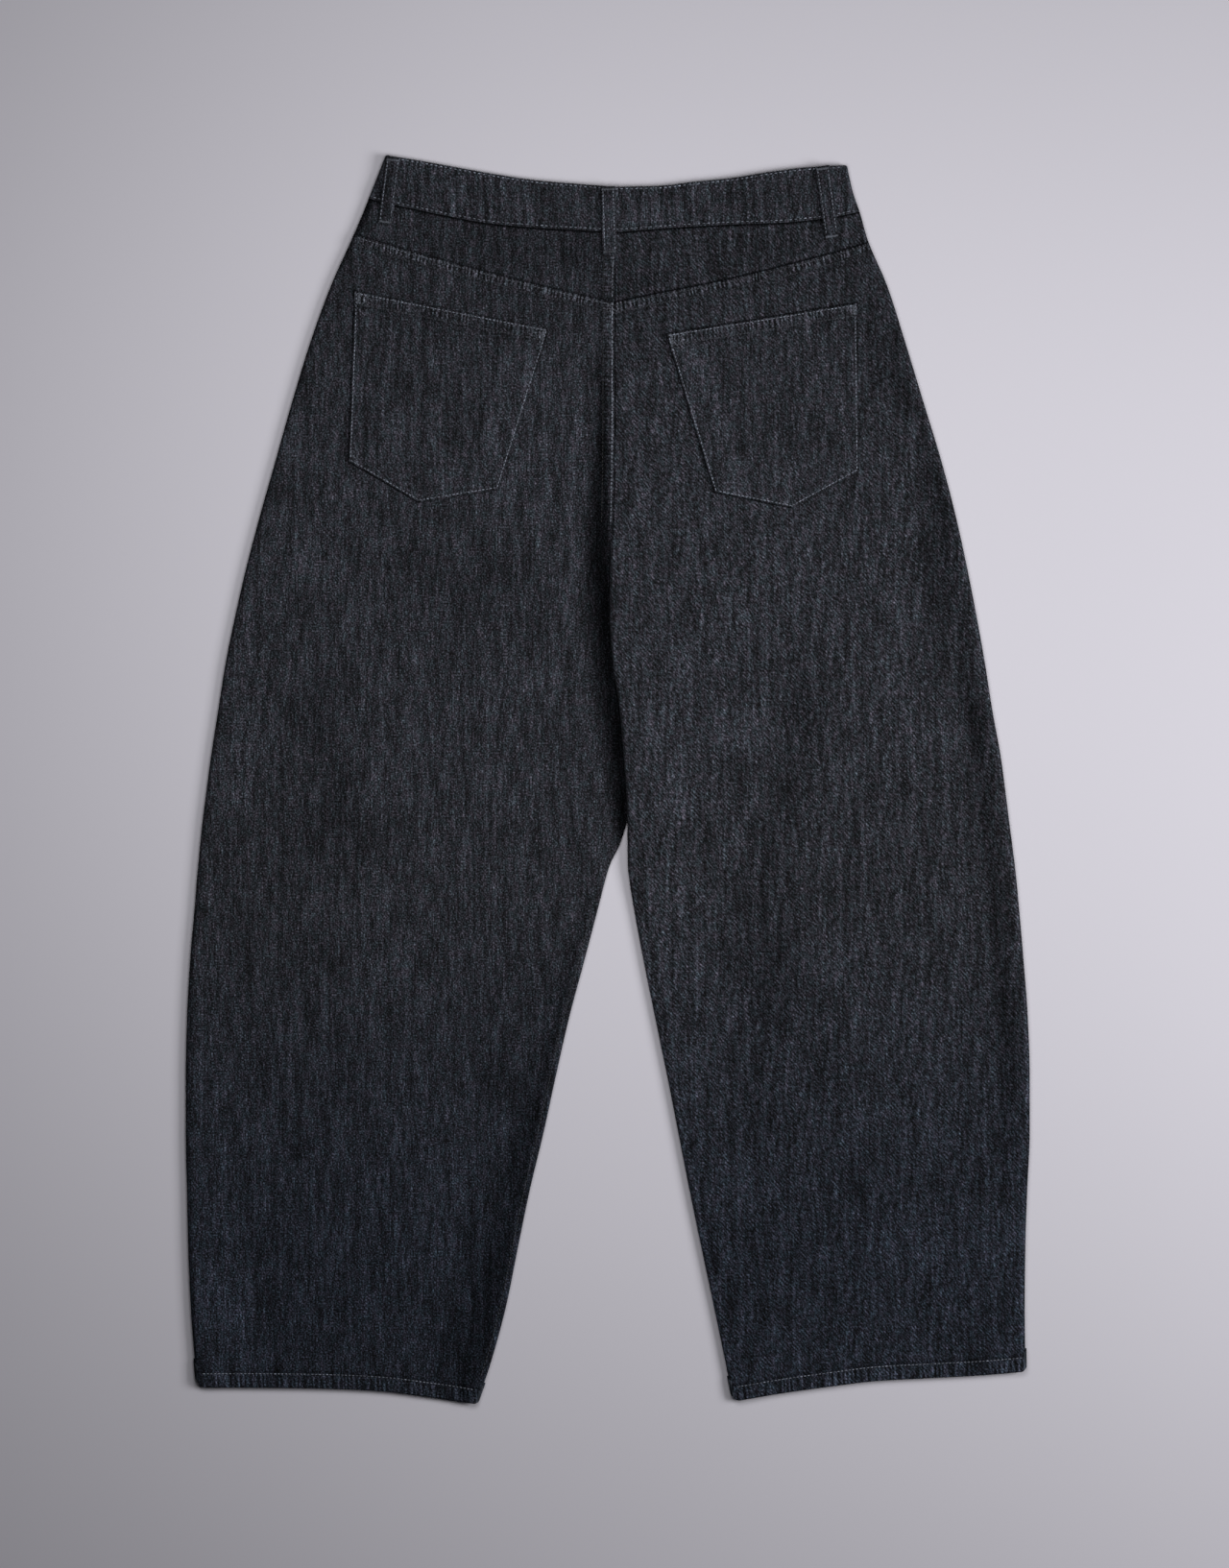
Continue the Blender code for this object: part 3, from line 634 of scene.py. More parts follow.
def buildWeave(tree):
    given = node(tree, "NodeGroupInput").outputs
    u, v, twilled = split(tree, given["Grain"])

    def woven(name, detail=0.0, rough=0.5, shift=0.0):
        scale = (1 / weave[name + "Across"], 1 / weave[name + "Along"], 1)
        return noiseAt(tree, stretched(tree, given["Grain"], scale, (shift, shift, 0)), detail, rough)

    # the ribs of the twill fall to the right, broken into dashes
    uRepeats = maths(tree, "DIVIDE", u, weave["repeatAcross"])
    vRepeats = maths(tree, "DIVIDE", v, weave["repeatAlong"])
    ribs, alongRib = summed(tree, uRepeats, vRepeats), maths(tree, "SUBTRACT", uRepeats, vRepeats)
    dashPlace = node(tree, "ShaderNodeCombineXYZ")
    for value, size, socket in ((ribs, "ribWide", 0), (alongRib, "ribLong", 1)):
        tree.links.new(maths(tree, "DIVIDE", value, weave[size]), dashPlace.inputs[socket])
    dashes = noiseAt(tree, dashPlace.outputs[0])
    wobble = noiseAt(tree, stretched(tree, given["Grain"], (*weave["wobble"], 1)), 1.0)
    phase = product(tree, summed(tree, ribs, product(tree, wobble, weave["wobbleReach"])), 2 * math.pi)
    rib = maths(tree, "SINE", phase)
    speckle, slub = woven("speckle"), woven("slub", 1.0, 0.5, 3.1)
    streak, mottle = woven("streak", 1.0, 0.6, 7.3), woven("mottle", 3.0, 0.6, 11.7)

    # less twill shows more of the streaks and the speckle
    twill = product(tree, twilled, given["Twill"])
    evened = product(tree, maths(tree, "POWER", twill, 2), 0.25)
    total = maths(tree, "SUBTRACT", product(tree, rib, twill), evened)
    streaks = product(tree, given["Streak"], maths(tree, "SUBTRACT", 1.3, twilled))
    specks = maths(tree, "SUBTRACT", 1.15, product(tree, twilled, 0.35))
    layers = (
        (speckle, product(tree, given["Speckle"], specks)),
        (dashes, product(tree, given["Dashes"], twilled)),
        (streak, streaks), (slub, given["Slub"]), (mottle, given["Mottle"]),
    )
    for value, strength in layers:
        total = summed(tree, total, centred(tree, value, strength))

    # short ribs where a seam draws the cloth up, painted into the shade as highlight and shade as well as
    # bumped
    along, across, drawn = split(tree, given["Seam"])
    drift = noiseAt(tree, stretched(tree, given["Seam"], (weave["driftRate"], 0, 0)), 2.0)
    drift = product(tree, drift, weave["driftReach"])
    gathers = summed(tree, maths(tree, "DIVIDE", along, weave["puckerPitch"]), drift)
    gathers = summed(tree, gathers, product(tree, across, weave["puckerLean"] / weave["puckerPitch"]))
    uneven = noiseAt(tree, stretched(tree, given["Seam"], (weave["unevenRate"], 0, 0), (5, 0, 0)), 1.0)
    uneven = product(tree, maths(tree, "SUBTRACT", uneven, 0.18), 2.8)
    gather = maths(tree, "SINE", product(tree, gathers, 2 * math.pi))
    gather = product(tree, gather, drawn, maths(tree, "MAXIMUM", uneven, 0.5))

    # a power keeps the dark places from running together
    shade = summed(tree, 1.0, product(tree, summed(tree, total, gather), weave["contrast"]))
    shade = maths(tree, "POWER", maths(tree, "MAXIMUM", shade, 0.05), weave["power"])
    fleck = product(tree, maths(tree, "SUBTRACT", speckle, weave["fleckFrom"]), weave["fleckRise"])
    fleck = maths(tree, "MINIMUM", maths(tree, "MAXIMUM", fleck, 0.0), 1.0)
    hue = summed(tree, 0.5, centred(tree, woven("hue", 2.0, 0.7, 17.9), weave["hueReach"]))
    height = summed(tree, product(tree, rib, 0.3), speckle, product(tree, gather, 0.8))
    out = node(tree, "NodeGroupOutput").inputs
    for value, name in ((shade, "Shade"), (fleck, "Fleck"), (hue, "Hue"), (height, "Height")):
        tree.links.new(value, out[name])


buildWeave(denimWeave)

wornAndShadedCloth = newGroup(
    "wornAndShadedCloth",
    {"Color": (0.03, 0.033, 0.04, 1), "Light Color": (0.12, 0.13, 0.15, 1), "Shade": 1.0, "Fleck": 0.0,
     "Wear": 0.0, "Tone": 1.0, "Cool": 0.0},
    ("Color",),
)


def mixColour(tree, blend, factor, first, second):
    made = node(tree, "ShaderNodeMix", data_type="RGBA", blend_type=blend)
    plug(tree, factor, made.inputs["Factor"])
    tree.links.new(first, made.inputs[6])
    tree.links.new(second, made.inputs[7])
    return made.outputs[2]


def buildWorn(tree):
    given = node(tree, "NodeGroupInput").outputs
    amount = product(tree, given["Wear"], maths(tree, "MINIMUM", given["Shade"], 1.8))
    lit = maths(tree, "MINIMUM", summed(tree, amount, product(tree, given["Fleck"], 0.05)), 1.0)
    mixed = mixColour(tree, "MIX", lit, given["Color"], given["Light Color"])
    # Tone brings the painted shade and highlight along with the cloth's tone
    level = product(tree, given["Shade"], given["Tone"])
    grey = node(tree, "ShaderNodeCombineColor")
    for socket, tint in zip(grey.inputs, (-0.11, 0.0, 0.15)):
        tinted = summed(tree, 1.0, product(tree, given["Cool"], tint))
        tree.links.new(product(tree, level, tinted), socket)
    result = mixColour(tree, "MULTIPLY", 1.0, mixed, grey.outputs[0])
    tree.links.new(result, node(tree, "NodeGroupOutput").inputs["Color"])


buildWorn(wornAndShadedCloth)


def attributeOf(tree, name, output):
    return node(tree, "ShaderNodeAttribute", attribute_name=name).outputs[output]


def groupNode(tree, group, **values):
    made = node(tree, "ShaderNodeGroup", node_tree=group)
    for name, value in values.items():
        made.inputs[name.replace("_", " ")].default_value = value
    return made


def newMaterial(name, **shader):
    made = bpy.data.materials.new(name)
    made.use_nodes = True
    principled = made.node_tree.nodes["Principled BSDF"]
    for key, value in shader.items():
        principled.inputs[key.replace("_", " ")].default_value = value
    return made, made.node_tree, principled


def bumped(tree, shader, height, distance, strength=1.0):
    bump = node(tree, "ShaderNodeBump")
    bump.inputs["Distance"].default_value = distance
    bump.inputs["Strength"].default_value = strength
    tree.links.new(height, bump.inputs["Height"])
    tree.links.new(bump.outputs["Normal"], shader.inputs["Normal"])


def denimMaterial(name, look):
    made, tree, shader = newMaterial(
        name, Roughness=look["roughness"],
        Sheen_Weight=look["sheen"], Sheen_Roughness=0.6, Sheen_Tint=(0.75, 0.8, 0.9, 1),
    )
    layers = ("twill", "dashes", "speckle", "streak", "slub", "mottle")
    woven = groupNode(tree, denimWeave, **{layer.title(): look[layer] for layer in layers})
    tree.links.new(attributeOf(tree, "grain", "Vector"), woven.inputs["Grain"])
    tree.links.new(attributeOf(tree, "seam", "Vector"), woven.inputs["Seam"])
    worn = groupNode(tree, wornAndShadedCloth, Light_Color=(*look["lightColour"], 1))
    dyes = node(tree, "ShaderNodeMix", data_type="RGBA")
    dyes.inputs[6].default_value = (*look["tealDye"], 1)
    dyes.inputs[7].default_value = (*look["violetDye"], 1)
    tree.links.new(woven.outputs["Hue"], dyes.inputs["Factor"])
    tree.links.new(dyes.outputs[2], worn.inputs["Color"])
    for output in ("Shade", "Fleck"):
        tree.links.new(woven.outputs[output], worn.inputs[output])
    toneAndShade = attributeOf(tree, "toneAndShade", "Fac")
    for source, target in ((attributeOf(tree, "wear", "Fac"), "Wear"), (toneAndShade, "Tone"),
                           (attributeOf(tree, "cool", "Fac"), "Cool")):
        tree.links.new(source, worn.inputs[target])
    shine = product(tree, maths(tree, "MINIMUM", toneAndShade, 1.0), look["specular"])  # less in the hollows, where the tone paints shade
    tree.links.new(shine, shader.inputs["Specular IOR Level"])
    tree.links.new(worn.outputs["Color"], shader.inputs["Base Color"])
    bumped(tree, shader, woven.outputs["Height"], look["bump"])
    return made


outsideLook = {
    "tealDye": (0.0170, 0.0220, 0.0276),
    "violetDye": (0.0228, 0.0214, 0.0288),
    "lightColour": (0.105, 0.114, 0.135),
    "roughness": 0.92,
    "specular": 0.18,
    "sheen": 0.02,
    "twill": 0.3,
    "dashes": 3.1,
    "speckle": 3.9,
    "streak": 2.3,
    "slub": 1.9,
    "mottle": 2.7,
    "bump": 0.00016,
}
insideLook = dict(
    outsideLook, tealDye=(0.045, 0.050, 0.056), violetDye=(0.050, 0.049, 0.058),
    twill=0.1, dashes=1.5, speckle=2.4,
)


blackDenim = denimMaterial("blackDenim", outsideLook)
denimReverse = denimMaterial("denimReverse", insideLook)


def coloured(tree, level, channels):
    made = node(tree, "ShaderNodeCombineColor")
    for channel, socket in zip(channels, made.inputs):
        tree.links.new(product(tree, level, channel), socket)
    return made.outputs[0]


def threadMaterial(name, look):
    made, tree, shader = newMaterial(name, Roughness=0.6, Specular_IOR_Level=0.3, Sheen_Weight=0.1)
    place = attributeOf(tree, "grain", "Vector")
    fibre = noiseAt(tree, stretched(tree, place, (look["fibre"],) * 3), 1.0, dimensions="3D")
    rows = noiseAt(tree, stretched(tree, place, (look["rows"],) * 3), 1.0, dimensions="3D")
    level = maths(tree, "EXPONENT", summed(tree, centred(tree, fibre, 1.5), centred(tree, rows, 2.2)))
    level = product(tree, level, attributeOf(tree, "worn", "Fac"))
    tree.links.new(coloured(tree, level, look["colour"]), shader.inputs["Base Color"])
    bumped(tree, shader, fibre, look["bump"])
    return made


threadLook = {"colour": (0.125, 0.140, 0.175), "fibre": 2600, "rows": 150, "bump": 0.0001}
greyThread = threadMaterial("greyThread", threadLook)


metalLook = {"scuffs": (900, 260, 500), "roughness": (0.3, 0.25), "grey": (0.12, 0.16)}  # least, and range


def metalMaterial(look):
    made, tree, shader = newMaterial("buttonMetal", Base_Color=(0.2, 0.2, 0.21, 1), Metallic=0.9)
    place = node(tree, "ShaderNodeTexCoord").outputs["Object"]
    scuffs = noiseAt(tree, stretched(tree, place, look["scuffs"]), 3.0, 0.7, "3D")
    ranges = (look["roughness"], look["grey"])
    rough, level = (summed(tree, low, product(tree, scuffs, span)) for low, span in ranges)
    tree.links.new(rough, shader.inputs["Roughness"])
    base = node(tree, "ShaderNodeCombineColor")
    for socket in base.inputs[:3]:
        tree.links.new(level, socket)
    tree.links.new(base.outputs[0], shader.inputs["Base Color"])
    return made


buttonMetal = metalMaterial(metalLook)
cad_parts["waist_button"].data.materials.clear()
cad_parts["waist_button"].data.materials.append(buttonMetal)
print("materials made")


# Building cloth

def gridFaces(counts, flipped):  # rows may hold whole multiples of their neighbours' points
    faces, start = [], 0
    for upper, lower in zip(counts, counts[1:]):
        a, b = start, start + upper
        if upper >= lower:
            k = (upper - 1) // (lower - 1)
            made = [[a + j * k + i for i in range(k + 1)] + [b + j + 1, b + j] for j in range(lower - 1)]
        else:
            k = (lower - 1) // (upper - 1)
            made = [[a + j, a + j + 1] + [b + j * k + i for i in range(k, -1, -1)] for j in range(upper - 1)]
        faces += [face[::-1] for face in made] if flipped else made
        start = b
    return faces


def linked(name, data):
    made = bpy.data.objects.new(name, data)
    bpy.context.scene.collection.objects.link(made)
    return made


def setAttribute(mesh, name, values):
    values = np.asarray(values, np.float32)
    if values.ndim == 2:
        mesh.attributes.new(name, "FLOAT_VECTOR", "POINT").data.foreach_set("vector", values.ravel())
    else:
        mesh.attributes.new(name, "FLOAT", "POINT").data.foreach_set("value", values)


def clothPiece(name, blocks, flipped, wall, replaced):
    # a block holds rows of points with their weave, seam, wear, and tone with painted shade and highlight
    counts = []
    made = {key: [] for key in ("points", "grain", "seam", "wear", "toneAndShade", "cool")}
    for block in blocks:
        rows, columns = block["x"].shape
        counts += [columns] * rows
        seed, twilled = block["weave"]
        none = np.zeros(block["x"].shape)
        vectors = {
            "points": (block["x"], block["y"], block["z"]),
            "grain": (block["u"] + 0.731 * seed, block["v"] + 0.413 * seed, none + twilled),
            "seam": block.get("seam", (none, none, none)),
        }
        for key, parts in vectors.items():
            made[key].append(np.stack([none + part for part in parts], -1).reshape(-1, 3))
        made["wear"].append(block["wear"].ravel())
        made["toneAndShade"].append(block["toneAndShade"].ravel())
        made["cool"].append(ramp(-0.06, -0.42, block["y"]).ravel())
    mesh = bpy.data.meshes.new(name)
    mesh.from_pydata(np.concatenate(made["points"]).tolist(), [], gridFaces(counts, flipped))
    for key in ("grain", "seam", "wear", "toneAndShade", "cool"):
        setAttribute(mesh, key, np.concatenate(made[key]))
    mesh.materials.append(blackDenim)
    mesh.materials.append(denimReverse)
    mesh.shade_smooth()
    piece = linked(name, mesh)
    solid = piece.modifiers.new("Wall", "SOLIDIFY")
    solid.thickness = wall
    solid.offset = -1.0
    solid.material_offset = 1
    solid.use_quality_normals = True
    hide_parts(replaced)
    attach(piece, "root")
    return piece


def refine(values, k):
    index = np.arange(len(values))
    return np.interp(np.arange((len(values) - 1) * k + 1) / k, index, values)


# Each row: y, then how light the cloth is there
fadeRows = (
    (500, 0.91), (400, 0.91), (330, 0.98), (190, 1.04), (60, 1.05), (-45, 1.0), (-160, 0.93), (-268, 0.89),
    (-400, 0.84), (-500, 0.86),
)
fadeTable = tableOf(fadeRows, ("y", "fade"))
# Soft darker and lighter patches: partly painted shade and highlight of soft folds, partly uneven fading.
# Each row: x, y, reach across, reach along, change
patchRows = (
    (-125, 160, 55, 55, -0.20), (-240, 190, 26, 70, 0.12), (-233, 60, 20, 48, -0.28),
    (-293, 50, 15, 110, 0.14), (-156, 62, 9, 34, 0.20), (-84, 62, 24, 42, 0.12),
    (-218, -45, 42, 42, -0.26), (-90, -60, 40, 30, 0.06), (-316, -190, 12, 130, 0.16),
    (-180, -150, 60, 30, 0.10), (-79, -268, 26, 60, -0.20), (-250, -250, 30, 40, -0.10),
    (-106, -391, 17, 60, -0.34), (-125, -455, 17, 34, -0.42), (-300, -430, 22, 50, 0.14),
    (262, 170, 14, 70, -0.34), (95, 150, 55, 60, 0.08), (160, 55, 22, 44, -0.24),
    (36, 62, 14, 70, 0.12), (228, 48, 20, 34, 0.08), (50, -40, 18, 60, 0.16), (136, -50, 20, 44, -0.20),
    (198, -50, 13, 34, -0.16), (128, -160, 26, 52, -0.22), (44, -150, 14, 50, 0.14),
    (270, -170, 26, 60, 0.10), (121, -268, 20, 50, -0.14), (240, -280, 30, 60, 0.10),
    (200, -330, 26, 50, -0.08), (238, -391, 24, 44, 0.08), (80, -440, 14, 50, 0.12),
    (60, 330, 26, 60, 0.08), (-60, 250, 24, 60, 0.08), (225, 330, 22, 44, -0.20),
    (-215, 340, 14, 60, 0.10), (-100, 425, 60, 16, -0.14), (110, 425, 60, 16, -0.10),
    (-20, 420, 14, 20, -0.25), (40, 400, 30, 14, -0.10), (-24, 275, 9, 55, 0.22),
    (-37, 240, 6, 50, -0.20), (-52, 235, 8, 40, 0.08), (-130, 300, 60, 60, -0.05),
    (-62, 330, 8, 17, 0.30), (70, -160, 30, 80, 0.18), (-312, -391, 24, 90, 0.20),
    (-210, -250, 110, 260, 0.04), (200, -420, 130, 110, -0.05),
)


def toneAndPaintedShadeAt(x, y):
    total = np.log(curveAt(fadeTable["y"] * mm, fadeTable["fade"], y))
    for px, py, reachX, reachY, change in patchRows:
        total += 1.2 * change * bell(np.hypot((x / mm - px) / reachX, (y / mm - py) / reachY), 1)
    total += 0.17 * layeredNoise(x, y, 30 * mm, 75 * mm, seeds["toneAndShade"], 3)
    return np.exp(total)


# Painted shadow in the hollow beside the fold at the seat, where the raised right leg shades the left
# Each row: y, darkest place, reach to the left and to the right, strength
hollowRows = (
    (372, -3, 5, 4, 0.0), (340, -3, 6, 4, 0.22), (311, -3, 7, 4, 0.5), (262, -3, 9, 5, 1.15),
    (225, -5, 10, 7, 1.6), (190, -5, 13, 8, 1.8), (140, -3, 13, 9, 2.1), (90, 0, 12, 9, 2.0),
    (40, 7, 12, 8, 2.0), (0, 11, 10, 7, 1.9), (-40, 13, 7, 6, 1.7), (-80, 16, 4, 4, 0.0),
)
hollowNames = ("y", "middle", "leftward", "rightward", "strength")
hollowTable = tableOf(hollowRows, hollowNames)


# Light or dark lines beside a seam or an edge, in millimetres. Wear rows are worn light, Dark, Shade and
# Valley rows painted shade, pocketInnerLight a painted highlight, Drawn rows the gathers. Each: strength,
# middle and reach
lineRows = {
    "hemDark": (0.5, 13.2, 1.4), "yokeDark": (0.3, 9.3, 1.3),
    "seatWear": (0.08, 1.0, 1.0), "seatDark": (0.3, 10.8, 1.5),
    "inseamWear": (0.03, 5.2, 1.6), "inseamDark": (0.25, 8.5, 2.5), "inseamShade": (0.42, 15, 10),
    "bandDark": (0.3, 2.6, 1.6), "bandLowWear": (0.012, 0.7, 0.7), "bandHighWear": (0.02, 1.0, 0.8),
    "bandLowDrawn": (0.5, 4, 3.5), "bandHighDrawn": (0.5, 4, 3.0),
    "pocketWear": (0.02, 2.1, 0.9), "pocketHemDark": (0.30, 11.6, 1.3), "pocketInnerLight": (0.16, 20, 9),
    "pocketInnerDark": (0.22, 31, 2.0), "pocketSideDark": (0.18, 24, 1.8),
    "loopWear": (0.015, 1.2, 0.7), "loopEndWear": (0.02, 2.4, 2.0), "loopDark": (0.25, 2.9, 0.8),
    "kneeValley": (0.5, 17, 9), "hipValley": (0.35, 13, 9),
}
# Dark rims along an edge, painted shade where an edge rolls away from the light or a lapping edge would cast
# its shadow, in millimetres. Each: strength, where it begins to fade, and where it ends
rimRows = {
    "left": ((0.36, 1.0, 6.5), (0.5, 0.2, 1.8)), "right": ((0.55, 0.2, 1.4),), "waistCorner": ((0.9, 2, 8),),
    "hem": ((0.5, 0, 0.9),), "yoke": ((0.9, 0.1, 0.7),), "band": ((2.0, 0.7, 2.1),),
    "seat": ((0.9, 0.2, 1.8),), "loop": ((1.3, 0.15, 0.7),),
    "yokeLeft": ((0.6, 0.6, 1.7),), "yokeRight": ((1.25, 0.6, 1.7),),
}


def lineAt(name, distance):
    strength, middle, reach = lineRows[name]
    return strength * bell(distance - middle * mm, reach * mm)


def rimAt(name, distance):
    return sum(strength * fall(full * mm, end * mm, distance) for strength, full, end in rimRows[name])


def paintedEdgeShade(side, layer, x, y, at):  # painted shade where the light doesn't reach the edges, and a painted highlight on the lit right rim
    fromSide = at["side"]
    total = -rimAt(side, fromSide)
    if side == "left":
        # painted shadow of the side seam below the waistband's end
        total -= rimAt("waistCorner", fromSide) * band(0.437, 0.461, 0.006, y)
    else:
        # a painted highlight on the rim facing the light, and painted shade in the valleys beside the side
        total += 0.28 * band(1.5 * mm, 3.2 * mm, 1.2 * mm, fromSide)
        total -= lineAt("kneeValley", fromSide) * band(-0.26, 0.02, 0.09, y)
        total -= lineAt("hipValley", fromSide) * band(0.06, 0.30, 0.06, y)
    # the painted shadow in the hollow at the seat
    if side == "left" and layer == "back":
        curves = (curveAt(hollowTable["y"] * mm, hollowTable[name], y) for name in hollowNames[1:])
        middle, leftward, rightward, strength = curves
        away = x / mm - middle
        total -= strength * np.exp(-np.abs(away / np.where(away < 0, leftward, rightward)) ** 2.4)
    return np.exp(total)


def edgeU(side, distance, atSide):  # keeps the weave even round the rolled edges
    left = 1 - np.clip(distance / cloth["roll"], 0, 1)
    extra = cloth["roll"] * (np.arcsin(left) - left)
    return extra * (outward[side] if atSide else -outward[side])


def panelColumns(nearInner, step, width):  # distances from the edges, shares of the width, and edge marks
    roll, margin = cloth["roll"], cloth["edgeMargin"]
    arcs = [roll * (1 - math.sin(math.pi / 2 * k / 6)) for k in range(6, -1, -1)]
    count = int(width / step)
    outer = [9 * mm, 6.5 * mm, 4.5 * mm] + arcs[::-1]
    a = [0.0] + arcs + list(nearInner) + [margin * (1 - 2 * k / count) for k in range(count + 1)]
    b = [0.0] * (1 + len(arcs) + len(nearInner)) + [k / count for k in range(count + 1)]
    stand = [1.0] + [0.0] * (len(a) + len(outer) - 1) + [1.0]
    a += [-d for d in outer] + [0.0]
    b += [1.0] * (len(outer) + 1)
    return np.array(a), np.array(b), np.array(stand)


cornerRadius = {"left": (2.5 * mm, 9 * mm), "right": (6 * mm, 4 * mm)}  # of the hem, inner and side


def cornerLift(side, a, b):
    innerRadius, sideRadius = cornerRadius[side]
    lift = 0
    for distance, radius, here in ((a, innerRadius, b == 0), (-a, sideRadius, b == 1)):
        left = np.where(here, np.clip(radius - distance, 0, radius), 0)
        lift += radius - np.sqrt(radius**2 - left**2)
    return lift


def tucked(side, a, b, y, x):  # the right half's edge slips under the left's
    if side == "left":
        return x
    return x - cloth["lapUnder"] * (1 - crossingAt("rolled", y)) * np.clip(1 - a / (3 * mm), 0, 1) * (b == 0)


grainOf = {  # seed and strength of the twill
    "left": (3, 0.35), "right": (5, 1.0), "waistband": (9, 0.6),
    "pocket left": (12, 0.6), "pocket right": (14, 0.8),
    "loop left": (20, 0.5), "loop centre": (21, 0.5), "loop right": (22, 0.5),
}


def blockOf(side, layer, part, a, b, stand, y, drop=0.0, turn=0.0):
    # one block of a panel or yoke. drop and turn shape the hem's fold.
    a, b, stand = (np.broadcast_to(values, y.shape) for values in (a, b, stand))
    x = columnX(side, a, b, y)
    if layer == "back":
        x = tucked(side, a, b, y, x)
        z = backFace(side, x, y, part) - stand * cloth["stand"] - drop
    else:
        z = frontFace(side, x, y) + stand * cloth["stand"] + drop
    at = places(side, x, y)
    u = x + edgeU(side, at["side"], True) + edgeU(side, at["inner"], False) * crossingAt("rolled", y)
    wear, dark = wearAndPaintedShadeOf(side, layer, part, x, y, at)
    # the cloth's tone times the painted shade and highlight of the edges, seams and seat hollow
    toneAndShade = toneAndPaintedShadeAt(x, y) * paintedEdgeShade(side, layer, x, y, at) * np.exp(-dark)
    return {
        "x": x, "y": y, "z": z, "u": u, "v": y - turn, "weave": grainOf[side], "wear": wear, "toneAndShade": toneAndShade,
        "seam": seamOf(side, layer, part, x, y, at),
    }


def seamOf(side, layer, part, x, y, at):  # along, across and strength of the drawn-up cloth
    hem = band(1.0 * mm, 9.5 * mm, 1.5 * mm, at["hem"])
    strength, along, across = 0.75 * hem, x * 0.83, -at["hem"] * 0.3
    if layer == "back" and part == "panel":
        yoke = band(1.2 * mm, 5.6 * mm, 2.0 * mm, at["yoke"])
        onYoke = at["yoke"] < 12 * mm
        along = np.where(onYoke, x, along)
        across = np.where(onYoke, at["yoke"] * outward[side], across)
        strength = np.where(onYoke, 1.2 * yoke, strength)
    if side == "left" and layer == "back":
        onSeat = (at["inner"] < 11.5 * mm) & (y > 0.19) & ((at["yoke"] > 3 * mm) | (part == "yoke"))
        seat = band(1.2 * mm, 9.0 * mm, 1.2 * mm, at["inner"]) * ramp(0.19, 0.24, y)
        along, across = np.where(onSeat, y, along), np.where(onSeat, at["inner"] * 0.3, across)
        strength = np.where(onSeat, 0.45 * seat, strength)
    return along, across, strength


def wearAndPaintedShadeOf(side, layer, part, x, y, at):  # worn light, and painted shade along edges and seams
    inner, yoke, hem = at["inner"], at["yoke"], at["hem"]
    along = softNoise(x, y, 14 * mm, 14 * mm, seeds["wear"][side])
    back, left = layer == "back", side == "left"
    wear = band(0.6 * mm, 10 * mm, 1 * mm, hem) * (0.015 + 0.015 * along)
    # painted shade above the hem's turned band and at its folded edge
    dark = lineAt("hemDark", hem) + rimAt("hem", hem)
    if back and part == "panel":
        level = (0.035 if left else 0.02) + 0.02 * along
        wear += band(0.8 * mm, 6.5 * mm, 1.5 * mm, yoke) * level
        wear += 0.14 * bell(np.hypot(x - 4 * mm, y - 377 * mm), 5 * mm)  # where the seams cross
        # painted shade at the welt's step and along the panel's rounded top edge
        dark += lineAt("yokeDark", yoke) + rimAt("yoke", yoke)
    if back and part == "yoke":
        # painted shadow of the lapping panel and of the waistband on the yoke
        dark += rimAt("yokeLeft" if left else "yokeRight", -yoke) + rimAt("band", at["band"])
    if back:
        welt = crossingAt("welt", y)
        seat, inseam = welt * ramp(0.08, 0.2, y), welt * (y < -0.09)
        if left:
            wear += seat * (lineAt("seatWear", inner) + 0.012 * band(0, 9 * mm, 1 * mm, inner))
            # painted shade beside the seat's welt and in the trough beside the inseam
            dark += seat * lineAt("seatDark", inner)
            dark += inseam * ramp(-0.10, -0.2, y) * lineAt("inseamShade", inner)
        else:
            # painted shadow of the left half's lapping edge
            dark += seat * rimAt("seat", inner)
        wear += inseam * lineAt("inseamWear", inner)
        # painted shade beside the inseam's welt
        dark += inseam * lineAt("inseamDark", inner)
    return np.clip(wear, 0, 1), dark


def hemFold(yHem):  # the edge turns over and runs back inside
    radius = 1.12 * mm
    turns = np.linspace(0, math.pi, 7)[:, None]
    inside = np.array([5, 10, 14.5])[:, None] * mm
    level = 0 * yHem[None]
    y = np.concatenate([yHem + radius * (1 - np.sin(turns)), yHem + inside])
    drop = np.concatenate([radius * (1 - np.cos(turns)) + level, 2 * radius + level + 0 * inside])
    turn = np.concatenate([radius * turns + level, radius * math.pi + inside + level])
    return y, drop, turn


nearInner = (3.6, 4.6, 5.6, 6.8, 8.0, 9.2, 10.6)  # columns beside the inner edge of the back
panelMesh = {  # columns and rows. The first rows lie below the top, the last rows above the hem.
    "back": {
        "step": 5.0 * mm, "rowStep": 2.4 * mm, "fine": 4, "nearInner": nearInner, "top": "yoke",
        "below": (0, 0.12, 0.35, 0.8, 1.5, 2.2, 3, 4, 5, 6, 7, 8, 8.8, 9.6, 10.4, 11.2, 12.2, 13.2),
        "above": (16, 15, 14, 13, 12.2, 11.5, 10.8, 10, 9, 8, 7, 6, 5, 4, 3, 2),
    },
    "front": {  # its edge runs up behind the waistband
        "step": 7.0 * mm, "rowStep": 5.0 * mm, "fine": 2, "nearInner": (4.5, 8), "top": "front band",
        "below": (-1.4, -0.6, 0, 0.6, 1.4, 3, 8),
        "above": (15, 12, 9, 6, 3),
    },
}


